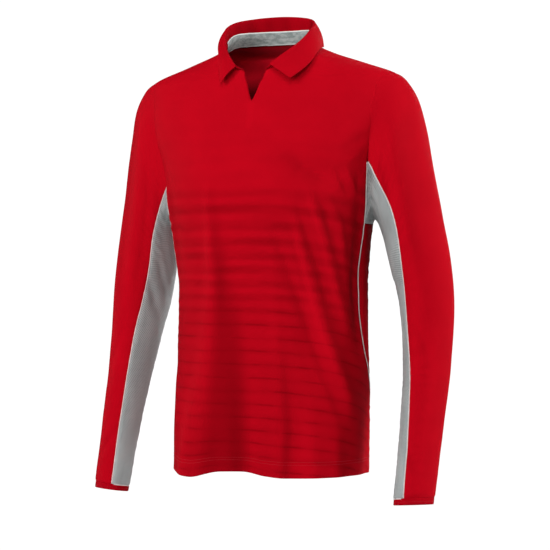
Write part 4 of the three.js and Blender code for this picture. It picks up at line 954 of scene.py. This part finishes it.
class Sleeve:
    def __init__(self, name, sign):
        self.sign = sign
        tip = TIP_Z[name]
        c1, c2, c3 = 56, 40, 26     # columns: shoulder to tip, tip to corner, along the gusset
        front = lambda z: hole_front(z) - forward(z, sign)
        af, zf = dense_curve(front, SHOULDER_Z, tip, sign)
        A1, Z1 = even(af, zf, c1)
        zz = np.linspace(tip, GUSSET_Z, 200)
        A2, Z2 = even(sign * front(zz), zz, c2)
        g = np.linspace(float(front(GUSSET_Z)), float(rear_seam(GUSSET_Z)), 100) * sign
        A3, Z3 = even(g, np.full(100, GUSSET_Z), c3)
        A4, Z4 = even(sign * hole_rear(zz), zz, c2)
        ar, zr = dense_curve(hole_rear, SHOULDER_Z, tip, sign)
        A5, Z5 = even(ar, zr, c1)
        A = np.concatenate([A1, A2[1:], A3[1:], A4[::-1][1:], A5[::-1][1:-1]])
        Z = np.concatenate([Z1, Z2[1:], Z3[1:], Z4[::-1][1:], Z5[::-1][1:-1]])
        self.A, self.Z = A, Z
        self.tip, self.corner1 = c1, c1 + c2
        self.corner2, self.tipRear, self.C = c1 + c2 + c3, c1 + 2 * c2 + c3, 2 * c1 + 2 * c2 + c3
        self.loop = plain_body(A, Z) + body_normal(A, Z) * (fold_heights(TORSO_FOLDS, A, Z, 360.0, (RAD * GIRTH_R, 1.0)) + round_undulation(A, Z) * np.clip((-30 - Z) / 60, 0.15, 1))[:, None]
        self.build()

    def angles(self, k):
        f = SLEEVE["seamLeft" if self.sign > 0 else "seamRight"][k]
        b = SLEEVE["seamRear"][k]
        stops_i = [0, self.tip, self.corner1, self.corner2, self.tipRear, self.C]
        stops_a = [0, f, f + (180 - f) * 0.52, b - (b - 180) * 0.52, b, 360]
        r = self.run
        return np.interp(r[:-1], r[stops_i], stops_a)

    def build(self):
        C, sign = self.C, self.sign
        closed = np.concatenate([self.loop, self.loop[:1]])
        self.run = arc(closed)
        K = len(SLEEVE["outerX"])
        self.ang = [self.angles(0)] + [self.angles(k) for k in range(K)]
        rings = [self.loop]
        for k in range(K):
            r = {n: SLEEVE[n][k] for n in SLEEVE}
            a = self.ang[k + 1]
            c, s = np.cos(a * RAD), np.sin(a * RAD)
            rings.append(np.stack([
                sign * ((r["outerX"] + r["innerX"]) / 2 + (r["outerX"] - r["innerX"]) / 2 * c),
                r["centreY"] - r["halfDepth"] * s + r["skew"] * c,
                (r["outerZ"] + r["innerZ"]) / 2 + (r["outerZ"] - r["innerZ"]) / 2 * c + r["lift"] * s], -1))
        rings = np.array(rings)
        K = len(rings)
        knots = [0.0]
        for k in range(1, K):
            knots.append(knots[-1] + math.sqrt(np.linalg.norm(rings[k] - rings[k - 1], axis=-1).mean()))
        knots = np.array(knots)
        h = np.diff(knots)
        slope = np.diff(rings, axis=0) / h[:, None, None]
        tan = np.zeros_like(rings)
        for k in range(1, K - 1):
            tan[k] = (slope[k - 1] * h[k] + slope[k] * h[k - 1]) / (h[k - 1] + h[k])
        i = np.arange(C)
        A, Z = self.A, self.Z
        straight = slope[0] * 1.5 - tan[1] * 0.5
        size = np.linalg.norm(slope[0], axis=-1, keepdims=True)
        rnd = np.where(i <= self.corner1, sign, np.where(i < self.corner2, 0, -sign)).astype(float)
        across = unit(plain_body(A + 0.5, Z) - plain_body(A - 0.5, Z)) * rnd[:, None]
        rise = unit(plain_body(A, Z + 1) - plain_body(A, Z - 1))
        from_top = np.minimum(self.run[:-1], self.run[-1] - self.run[:-1])
        red = (i <= self.tip) | (i >= self.tipRear)
        up = np.where(red, 0.0, np.where(i <= self.corner1, (i - self.tip) / (self.corner1 - self.tip),
             np.where(i < self.corner2, 1.0, (self.tipRear - i) / (self.tipRear - self.corner2))))
        hold = np.where(red, HOLD_RED * np.minimum(1, from_top / 34.0), HOLD_GREY)
        # ease from one to the other at the gusset's tip
        blend = smooth(np.minimum(np.abs(self.run[:-1] - self.run[self.tip]), np.abs(self.run[:-1] - self.run[self.tipRear])) / 60.0)
        hold = np.where(red, hold, HOLD_RED + (hold - HOLD_RED) * blend)
        # the front seam leaves the tip straight
        near = np.abs(self.run[:-1] - self.run[self.tip])
        hold = hold * (1 - 0.62 * np.exp(-((near / 30.0) ** 2)))
        lead = unit(across * (1 - 0.5 * up)[:, None] + rise * (0.5 * up + np.where(rnd != 0, 0, 0.5))[:, None]) * size
        tan[0] = straight * (1 - hold)[:, None] + lead * hold[:, None]
        tan[-1] = slope[-1] * 1.5 - tan[-2] * 0.5
        self.rings, self.tan, self.h, self.K = rings, tan, h, K

    def at(self, row):
        """Points of the plain sleeve at a row (0 is the armhole), all columns."""
        k = min(self.K - 2, int(row))
        t = row - k
        h = self.h[k]
        return (self.rings[k] * (1 + 2 * t) * (1 - t) ** 2 + self.tan[k] * t * (1 - t) ** 2 * h
                + self.rings[k + 1] * t * t * (3 - 2 * t) + self.tan[k + 1] * t * t * (t - 1) * h)

    def angle_at(self, row):
        k = min(self.K - 2, int(row))
        return self.ang[k] * (1 - (row - k)) + self.ang[k + 1] * (row - k)

    def rows(self, step=4.2):
        """Row numbers about step apart, closer at the armhole and at the cuff's seam."""
        t = np.linspace(0, self.K - 1, 1300)
        mid = np.array([self.at(x) for x in t])
        run = arc(mid.transpose(1, 0, 2)).mean(0)
        total = run[-1]
        cuff = total - CUFF_DEPTH
        s = np.concatenate([NEAR, np.arange(NEAR[-1] + 3.2, cuff - NEAR[-1] - 2, step), (cuff - NEAR)[::-1]])
        s2 = np.concatenate([cuff + np.array([0.0, 0.8, 1.6, 2.6]), np.linspace(cuff + 4, total, 4)])
        self.cuff_run, self.total = cuff, total
        return s, np.interp(s, run, t), s2, np.interp(s2, run, t)

    def surface(self, s, rows, c0, c1, cols, near_rows=(True, True), seed=1, near_cols=True):
        """Panel between two columns (c1 may pass the end of the loop)."""
        idx = np.arange(c0, c1 + 1) % self.C
        P = np.array([self.at(r)[idx] for r in rows])
        ang = np.array([self.angle_at(r) for r in rows])[:, idx]
        if c1 >= self.C:
            wrapped = np.arange(c0, c1 + 1) >= self.C
            ang = ang + np.where(wrapped, 360.0, 0.0)
        S = np.repeat(np.asarray(s)[:, None], len(idx), 1)
        R = np.repeat(np.asarray(rows)[:, None], len(idx), 1)
        P, (ang, S, R), d, total = resample(P, [ang, S, R], cols, near_cols, near_cols)
        N = grid_normals(P)
        if self.sign > 0:
            pass
        else:
            N = -N
        mid = P.mean(1, keepdims=True)
        aw = ang - 360.0 * np.floor(ang / 360.0)
        folds = [(p, w) for sg, p, w in SLEEVE_FOLDS if sg == self.sign]
        hgt = fold_heights(folds, aw, R, wrap=360.0, scale=(RAD * 48, 50.0))
        hgt = hgt * np.clip(R / 1.5, 0, 1)
        # the folds' slope across, which the materials paint as shade on one side and highlight on the other
        lean = -self.sign * np.gradient(hgt, axis=1) / np.maximum(np.gradient(d, axis=1), 0.2)
        self.lie = np.stack([lean, hgt], -1)
        hgt += undulation(aw * RAD * 48 + 700 * self.sign, S) * 0.75 * np.clip(S / 30, 0, 1)
        if near_cols:
            hgt += seam_dip(d) + seam_dip(total - d)
            hgt += pucker(S, d, seed) + pucker(S, total - d, seed + 1)
        if near_rows[0]:
            deep = furrow(P[:1, :, 2])
            hgt += (seam_dip(S - s[0]) + pucker(arc(P), S - s[0], seed + 2, amp=0.9, reach=14)) * deep
        if near_rows[1]:
            hgt += seam_dip(s[-1] - S)
        return P, N, hgt, ang, S, d


def outward(P, N):
    """Turns normals to point away from each row's middle."""
    mid = P.mean(1, keepdims=True)
    sgn = np.sign(((P - mid) * N).sum(-1).mean())
    return N * (sgn if sgn else 1)


def build_sleeve(name, sign):
    s = Sleeve(name, sign)
    srun, rows, crun, crows = s.rows()
    made = {}
    full = np.array([s.at(r) for r in rows])
    centre = full.mean(1, keepdims=True)
    for key, c0, c1, cols, seed in (("upper", s.tipRear, s.C + s.tip, 62, 61), ("under", s.tip, s.tipRear, 40, 71)):
        P, N, h, ang, S, d = s.surface(srun, rows, c0, c1, cols, seed=seed + (0 if sign > 0 else 5))
        side_ = np.sign(((P - centre) * N).sum(-1).mean())
        N = N * side_
        P = P + N * h[..., None]
        uv = np.stack([ang * RAD * 48, -S], -1)
        lie = s.lie
        if key == "under" and sign < 0:     # painted light on the mesh where it turns back towards the body
            lie[..., 0] += 0.55 * smooth((np.linspace(0, 1, P.shape[1]) - 0.10) / 0.22)
        b = Builder()
        b.grid(P, uv, flip=sign < 0, lie=lie)
        made[key] = (b, P, N, S)
    # cuff band: a little proud of the sleeve, folded in at the end
    P = np.array([s.at(r) for r in crows])
    N = outward(P, grid_normals(P, closed=True))
    S = np.repeat(crun[:, None], s.C, 1)
    h = -0.7 + seam_dip(S - crun[0], 0.25, 1.4)
    Q = P + N * h[..., None]
    uv = np.stack([np.repeat((np.arange(s.C) * 200.0 / s.C)[None], len(crows), 0), -S], -1)
    down = unit(Q[-1] - Q[-2])
    extra, euv = [], []
    for k, th in enumerate((45, 90, 135, 180)):
        t = th * RAD
        extra.append(Q[-1] + down * 0.9 * math.sin(t) - N[-1] * 0.9 * (1 - math.cos(t)))
        euv.append(uv[-1] + np.array([0, -0.9 * t]))
    for k in (2.0, 4.5, 7.5):
        extra.append(Q[-1] - down * k - N[-1] * 1.8)
        euv.append(uv[-1] + np.array([0, -3 - k]))
    Q = np.concatenate([Q, np.array(extra)])
    uv = np.concatenate([uv, np.array(euv)])
    b = Builder()
    b.grid(Q, uv, flip=sign < 0, closed=True)
    made["cuff"] = (b, Q, N, S)
    s.made, s.srows, s.srun = made, rows, srun
    return s


# ------------------------------------------------------------------ strips along seams
def tube(path, normal, width, height, lift, name, sides=8, uvscale=1.0):
    """A soft half-round strip along a path."""
    run = arc(path)
    t = unit(np.gradient(path, axis=0))
    n = unit(normal - t * (normal * t).sum(-1, keepdims=True))
    b = np.cross(t, n)
    rows = []
    for k in range(sides):
        th = math.pi * 2 * k / sides
        rows.append(path + b * (width / 2 * math.cos(th)) + n * (lift + height * (0.5 + 0.5 * math.sin(th)))[..., None] if not np.isscalar(lift)
                    else path + b * (width / 2 * math.cos(th)) + n * (lift + height * (0.5 + 0.5 * math.sin(th))))
    P = np.stack(rows, 1)
    uv = np.stack([np.repeat((np.arange(sides) * width * 2 / sides)[None], len(path), 0), np.repeat(run[:, None], sides, 1)], -1)
    bld = Builder()
    bld.grid(P, uv, closed=True)
    for end, flip in ((0, False), (len(path) - 1, True)):
        base = end * sides
        f = list(range(base, base + sides))
        bld.f.append(f if flip else f[::-1])
    return bld


def smooth_path(p, step=3.0):
    run = arc(p)
    n = max(2, int(run[-1] / step))
    s = np.linspace(0, run[-1], n + 1)
    return np.stack([np.interp(s, run, p[:, i]) for i in range(3)], -1)


def stitches(name, path, normal, length=2.6, gap=1.2, thick=0.42, lift=0.15, mat="thread"):
    """A row of short stitches lying on the cloth."""
    run = arc(path)
    pitch = length + gap
    count = int(run[-1] / pitch)
    starts = (np.arange(count) + 0.5) * run[-1] / count
    get = lambda q, s: np.stack([np.interp(s, run, q[:, i]) for i in range(3)], -1)
    bld = Builder()
    offs = np.array([-0.5, -0.32, 0.0, 0.32, 0.5]) * length
    rad = np.array([0.35, 0.85, 1.0, 0.85, 0.35]) * thick / 2
    sink = np.array([-0.3, 0.0, 0.12, 0.0, -0.3])
    sides = 5
    c = [get(path, starts + o) for o in offs]
    nn = unit(get(normal, starts))
    t = unit(c[-1] - c[0])
    nn = unit(nn - t * (nn * t).sum(-1, keepdims=True))
    bb = np.cross(t, nn)
    P = np.zeros((count, len(offs), sides, 3))
    for j in range(len(offs)):
        for k in range(sides):
            th = 2 * math.pi * k / sides
            P[:, j, k] = c[j] + nn * (lift + sink[j] + rad[j] * math.sin(th)) + bb * (rad[j] * math.cos(th))
    V = P.reshape(-1, 3)
    uv = np.zeros((len(V), 2))
    uv[:, 0] = np.tile(np.repeat(np.arange(len(offs)), sides), count) + np.repeat(np.arange(count), len(offs) * sides) * 3.7
    bld.v.append(V)
    bld.uv.append(uv)
    m = len(offs)
    for i in range(count):
        base = i * m * sides
        for j in range(m - 1):
            for k in range(sides):
                a, b_ = base + j * sides + k, base + j * sides + (k + 1) % sides
                bld.f.append([a, b_, b_ + sides, a + sides])
    bld.n = len(V)
    ob = bld.make(name, merge=None)
    ob.data.materials.append(MAT[mat])
    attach(ob, "root")
    return ob


# ------------------------------------------------------------------ collar
def neck_path(count=240):
    """Points of the neck seam from the wearer's right slit top round the back to the left."""
    zf = SLIT_TOP_Z + (NECK_SIDE_Z - SLIT_TOP_Z) * (1 - (1 - np.linspace(0, 1, 300)) ** 2)
    half = [(neck_front_c(z), z) for z in zf]
    ab = np.linspace(90, 180, 200)[1:]
    half += [(a, float(neck_back_z(a))) for a in ab]
    half = np.array([(float(a), float(z)) for a, z in half])
    A = np.concatenate([-half[:, 0], half[::-1][1:, 0]])
    Z = np.concatenate([half[:, 1], half[::-1][1:, 1]])
    ANG = np.abs(A)
    A = A + slit_shift(Z)
    P = plain_body(A, Z)
    run = arc(P)
    s = np.linspace(0, run[-1], count + 1)
    A, Z, ANG = np.interp(s, run, A), np.interp(s, run, Z), np.interp(s, run, ANG)
    # angles jump from +180 to -180 nowhere here: the right side is negative, the left positive
    return A, Z, ANG, s / run[-1]


def collar_curves():
    pts = np.stack([COLLAR["foldX"], COLLAR["foldY"], COLLAR["foldZ"]], -1)
    d = arc(pts)
    out = {}
    n = len(d)
    for name, y in COLLAR.items():
        s = np.diff(y) / np.diff(d)
        m = np.zeros(n)
        for i in range(1, n - 1):
            m[i] = (s[i - 1] * (d[i + 1] - d[i]) + s[i] * (d[i] - d[i - 1])) / (d[i + 1] - d[i - 1])
        m[0], m[-1] = 1.5 * s[0] - 0.5 * m[1], 1.5 * s[-1] - 0.5 * m[-2]

        def f(t, y=y, m=m):
            v = np.clip(t, 0, 1) * d[-1]
            i = np.clip(np.searchsorted(d, v, side="left") - 1, 0, n - 2)
            h = d[i + 1] - d[i]
            k = (v - d[i]) / h
            return ((1 + 2 * k) * (1 - k) ** 2 * y[i] + k * (1 - k) ** 2 * h * m[i]
                    + k * k * (3 - 2 * k) * y[i + 1] + k * k * (k - 1) * h * m[i + 1])
        out[name] = f
    return out


def build_collar():
    A, Z, ANG, t = neck_path()
    # the right half has negative angles up to -180, the left positive from 180
    P0 = plain_body(A, Z)
    N = body_normal(A, Z)
    run_dir = unit(np.gradient(P0, axis=0))
    past = unit(np.cross(run_dir, N))
    c = collar_curves()
    fold = np.stack([c["foldX"](t), c["foldY"](t), c["foldZ"](t)], -1)
    edge = np.stack([c["edgeX"](t), c["edgeY"](t), c["edgeZ"](t)], -1)
    out = fold.copy()
    out[:, 1] -= 8
    out[:, 2] = 0
    out = unit(out)
    foot = fold - out * COLLAR_FOLD_R
    up = unit(foot - P0)
    lean = np.sqrt(np.maximum(0, 1 - (up * past).sum(-1) ** 2))
    start = P0 - N * (CLOTH / 2) + past * (0.25 + COLLAR_CLOTH / 2 * lean * 0.5)[:, None]
    path, kind = [], []
    for k in range(12):
        path.append(start + (foot - start) * (k / 12))
    for k in range(9):
        th = math.pi * (1 - k / 8)
        path.append(fold + out * (COLLAR_FOLD_R * math.cos(th)) + np.array([0, 0, COLLAR_FOLD_R * math.sin(th)]))
    top = path[-1]
    for k in range(1, 19):
        u = k / 18
        path.append(top + (edge - top) * u + out * (COLLAR_BULGE * math.sin(math.pi * u ** 0.8)))
    path = np.array(path).transpose(1, 0, 2)            # sections x points
    # slight unevenness along the fall
    g = np.random.default_rng(5)
    s = t * 460
    wave = sum(g.uniform(0.2, 0.5) * np.sin(2 * math.pi * s / wl + g.uniform(0, 6.28)) for wl in (38, 61, 97, 140))
    fall = np.clip((np.arange(path.shape[1]) - 20) / 18, 0, 1) ** 1.3
    path = path + out[:, None, :] * (wave[:, None] * fall[None, :])[..., None] * 0.8
    v = arc(path)
    uv = np.stack([np.repeat((t * 460)[:, None], path.shape[1], 1), v], -1)
    k = np.arange(path.shape[1])
    # painted shade on the collar: darkest at the neck seam, less up the stand and round the fold, faint on the fall,
    # uneven along the neck
    stand = np.interp(k, (0, 9, 14, 18, 22), (-0.40, -0.32, -0.20, -0.08, -0.06))
    uneven = 1 + 0.35 * np.sin(s / 17.0) * np.sin(s / 6.1 + 1.0) + 0.25 * np.sin(s / 29.0 + 2.0)
    b = Builder()
    b.grid(path, uv, lie=np.stack([stand[None, :] * uneven[:, None], np.zeros(path.shape[:2])], -1))
    ob = b.make("collar_fold_down", COLLAR_CLOTH, offset=0.0)
    return ob, dict(P0=P0, N=N, past=past, up=up, start=start, run=run_dir, ANG=ANG, A=A, Z=Z, path=path, out=out, t=t)


def build_tape(c):
    keep = c["ANG"] >= TAPE_END_ANGLE
    A, Z = c["A"][keep], c["Z"][keep]
    sgn = np.sign(A)
    P0, N, start, up, run = (c[k][keep] for k in ("P0", "N", "start", "up", "run"))
    stand_in = unit(np.cross(run, up))
    flip = (stand_in * (np.array([0, 20, 0]) - P0) * np.array([1, 1, 0])).sum(-1) < 0
    stand_in = np.where(flip[:, None], -stand_in, stand_in)
    rows, mids = [], []
    gap = 1.1
    for dist in np.linspace(TAPE_BELOW, 2.0, 7):
        # down the cloth from the seam
        dz = np.full(len(A), 0.0)
        for _ in range(60):
            d = np.linalg.norm(plain_body(A, Z - dz) - P0, axis=-1)
            dz = np.where(d < dist, dz + dist * 0.035, dz)
        q = plain_body(A, Z - dz)
        n = body_normal(A, Z - dz)
        rows.append(q - n * (CLOTH + gap))
    lead = COLLAR_CLOTH / 2 + gap * 0.7
    turn = unit(stand_in - N)
    rows.append(P0 - N * CLOTH + turn * gap)
    for d in np.linspace(1.0, TAPE_ABOVE, 5):
        rows.append(start + up * d + stand_in * lead)
    P = np.array(rows).transpose(1, 0, 2)
    v = arc(P)
    uv = np.stack([np.repeat((c["t"][keep] * 460)[:, None], P.shape[1], 1), v / v[:, -1:] * 2 - 1], -1)
    b = Builder()
    b.grid(P, uv, flip=True)
    return b.make("neck_tape_strip", 0.9, offset=0.0)


# ------------------------------------------------------------------ make the garment
made = {}
made["front"] = build_front()
made["back"] = build_back()
sleeves = {}
for nm, sg in (("l", 1), ("r", -1)):
    made["side_" + nm] = build_side(sg, nm)
    sleeves[nm] = build_sleeve(nm, sg)
    m = sleeves[nm].made
    made["sleeve_" + nm] = m["upper"][0].make("upper_sleeve_" + nm, CLOTH)
    made["under_" + nm] = m["under"][0].make("gusset_and_under_sleeve_" + nm, CLOTH)
    made["cuff_" + nm] = m["cuff"][0].make("cuff_band_" + nm, 0.8)
made["collar"], col = build_collar()
made["tape"] = build_tape(col)


def pipe_piece(name, path, normal, node):
    path2 = smooth_path(path)
    run = arc(path)
    s = arc(path2)
    s = s * (run[-1] / s[-1])
    nrm = np.stack([np.interp(s, run, normal[:, i]) for i in range(3)], -1)
    b = tube(path2, nrm, PIPING_WIDTH, 1.3, -0.55, name)
    ob = b.make(name, merge=None)
    length = run[-1]
    dress(ob, "piping", node)
    return ob, length


for nm, sg in (("l", 1), ("r", -1)):
    s = sleeves[nm]
    zt = TIP_Z[nm]
    zz = np.concatenate([np.linspace(HEM_Z - 0.5, GUSSET_Z, 150), np.linspace(GUSSET_Z, zt - 1.5, 60)[1:]])
    aa = sg * (front_seam(zz) - forward(zz, sg))
    ob, _ = pipe_piece("piping_side_" + nm + "_cord", body(aa, zz), body_normal(aa, zz), "piping_side_" + nm)
    made["piping_side_" + nm] = ob
    _, Pu, Nu, Su = s.made["under"]
    path, nrm = Pu[:, 0], Nu[:, 2]
    ob, _ = pipe_piece("piping_sleeve_" + nm + "_cord", path[2:], nrm[2:], "piping_sleeve_" + nm)
    made["piping_sleeve_" + nm] = ob
    path, nrm = Pu[-1], Nu[-3]
    ob, _ = pipe_piece("piping_cuff_" + nm + "_cord", path[3:-3], nrm[3:-3], "piping_cuff_" + nm)
    made["piping_cuff_" + nm] = ob

# stitching: hem, cuffs
aa = np.linspace(-179.9, 179.9, 1500)
for k, dz in enumerate((HEM_DEPTH, HEM_DEPTH - 4.5)):
    zz = np.full(aa.shape, HEM_Z + dz)
    stitches("hem_stitches_%d" % k, body(aa, zz), body_normal(aa, zz))
for nm, sg in (("l", 1), ("r", -1)):
    s = sleeves[nm]
    _, Q, N, S = s.made["cuff"]
    row = 5
    loop = np.concatenate([Q[row], Q[row][:1]])
    nl = np.concatenate([N[row], N[row][:1]])
    stitches("cuff_stitches_" + nm, loop, nl, length=2.0, gap=1.0, thick=0.36)


CUT = {
    "front": (0.560, 0.790, "front", ("front_upper", "front_lower"), "red_knit"),
    "back": (0.560, 0.800, "plain", ("back_upper", "back_lower"), "red_knit"),
    "side_l": (0.105, 0.430, "plain", "side_panel_l", "red_knit"),
    "side_r": (0.105, 0.430, "plain", "side_panel_r", "red_knit"),
    "sleeve_l": (0.300, 0.720, "plain", ("sleeve_upper_l", "sleeve_lower_l"), "red_knit"),
    "sleeve_r": (0.300, 0.720, "plain", ("sleeve_upper_r", "sleeve_lower_r"), "red_knit"),
    "under_l": (0.260, 0.560, "grey_l", "under_sleeve_l", "grey_mesh"),
    "under_r": (0.230, 0.560, "grey", "under_sleeve_r", "grey_mesh"),
    "cuff_l": (0.200, 0.020, "cuff", "cuff_l", "red_knit"),
    "cuff_r": (0.200, 0.020, "cuff", "cuff_r", "red_knit"),
    "collar": (0.500, 0.095, "collar", "collar", "red_knit"),
    "tape": (0.300, 0.023, "tape", "neck_tape", "neck_tape"),
}
# each piece gets its material and is attached, and its parts in the model are hidden
for key, (w, l, mat, node, slot) in CUT.items():
    dress(made[key], mat, node)

# ------------------------------------------------------------------ floor, light, camera
floor = mesh_object("floor", np.array([[-9000, -9000, -1000], [9000, -9000, -1000], [9000, 9000, -1000], [-9000, 9000, -1000]], float), [[0, 1, 2, 3]], smooth_shade=False)
fm = Nodes("pale floor")
fm.bsdf.inputs["Base Color"].default_value = (0.80, 0.80, 0.80, 1)
fm.bsdf.inputs["Roughness"].default_value = 0.9
# seen by the camera as evenly lit paper
glow = fm.node("ShaderNodeEmission")
glow.inputs[0].default_value = (1, 1, 1, 1)
glow.inputs[1].default_value = 1.05
ray = fm.node("ShaderNodeLightPath")
either = fm.node("ShaderNodeMixShader")
fm.link(ray.outputs["Is Camera Ray"], either.inputs[0])
fm.link(fm.bsdf.outputs[0], either.inputs[1])
fm.link(glow.outputs[0], either.inputs[2])
fm.link(either.outputs[0], fm.out.inputs[0])
floor.data.materials.append(fm.mat)
floor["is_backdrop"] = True

world = bpy.data.worlds.new("studio")
bpy.context.scene.world = world
world.use_nodes = True
wt = world.node_tree
wt.nodes.clear()
wo = wt.nodes.new("ShaderNodeOutputWorld")
bg1 = wt.nodes.new("ShaderNodeBackground")
bg2 = wt.nodes.new("ShaderNodeBackground")
bg1.inputs[0].default_value = (1, 1, 1, 1)
bg1.inputs[1].default_value = 0.02
bg2.inputs[0].default_value = (1, 1, 1, 1)
bg2.inputs[1].default_value = 1.05
lp = wt.nodes.new("ShaderNodeLightPath")
mx = wt.nodes.new("ShaderNodeMixShader")
wt.links.new(lp.outputs["Is Camera Ray"], mx.inputs[0])
wt.links.new(bg1.outputs[0], mx.inputs[1])
wt.links.new(bg2.outputs[0], mx.inputs[2])
wt.links.new(mx.outputs[0], wo.inputs[0])


def area_light(name, loc, target, size, power, colour=(1, 1, 1)):
    d = bpy.data.lights.new(name, "AREA")
    d.shape = "RECTANGLE"
    d.size, d.size_y = size
    d.energy = power
    d.color = colour
    o = bpy.data.objects.new(name, d)
    o.location = loc
    from mathutils import Vector
    v = Vector(target) - Vector(loc)
    o.rotation_euler = v.to_track_quat("-Z", "Y").to_euler()
    bpy.context.scene.collection.objects.link(o)
    return o


def studio_light(name, azimuth, elevation, power, size=(1.0, 1.6), away=3.0, colour=(1, 1, 1)):
    """Area light at an azimuth (0 in front of the garment, positive towards the wearer's left)."""
    a, e = azimuth * RAD, elevation * RAD
    aim = (0.0, 0.0, -0.33)
    spot = (away * math.sin(a) * math.cos(e), -away * math.cos(a) * math.cos(e), aim[2] + away * math.sin(e))
    return area_light(name, spot, aim, size, power, colour)


studio_light("key", -30, 26, 56)
studio_light("fill", 18, 34, 38)
studio_light("rim left", 110, 24, 80)
studio_light("rim right", -100, 5, 16)
studio_light("top", 5, 62, 7)
studio_light("back", 170, 25, 22)

scene = bpy.context.scene
cam_data = bpy.data.cameras.new("camera")
cam = bpy.data.objects.new("camera", cam_data)
scene.collection.objects.link(cam)
AZ = 21 * RAD
D = 2.650
cam.location = (D * math.sin(AZ), -D * math.cos(AZ), -0.355)
cam.rotation_euler = (math.pi / 2, 0, AZ)
cam_data.sensor_width = 36.0
cam_data.lens = 1635 / 550 * 36.0
cam_data.shift_x = 4 / 550
cam_data.shift_y = -3 / 550
cam_data.clip_end = 60
scene.camera = cam
scene.view_settings.view_transform = "Standard"
scene.view_settings.look = "None"
scene.view_settings.exposure = 0.0
scene.view_settings.gamma = 1.0

box_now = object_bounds()
plain = lambda b: [[float(x) for x in p] for p in b]
{"cad": plain(cad_box), "visual": plain(box_now)}
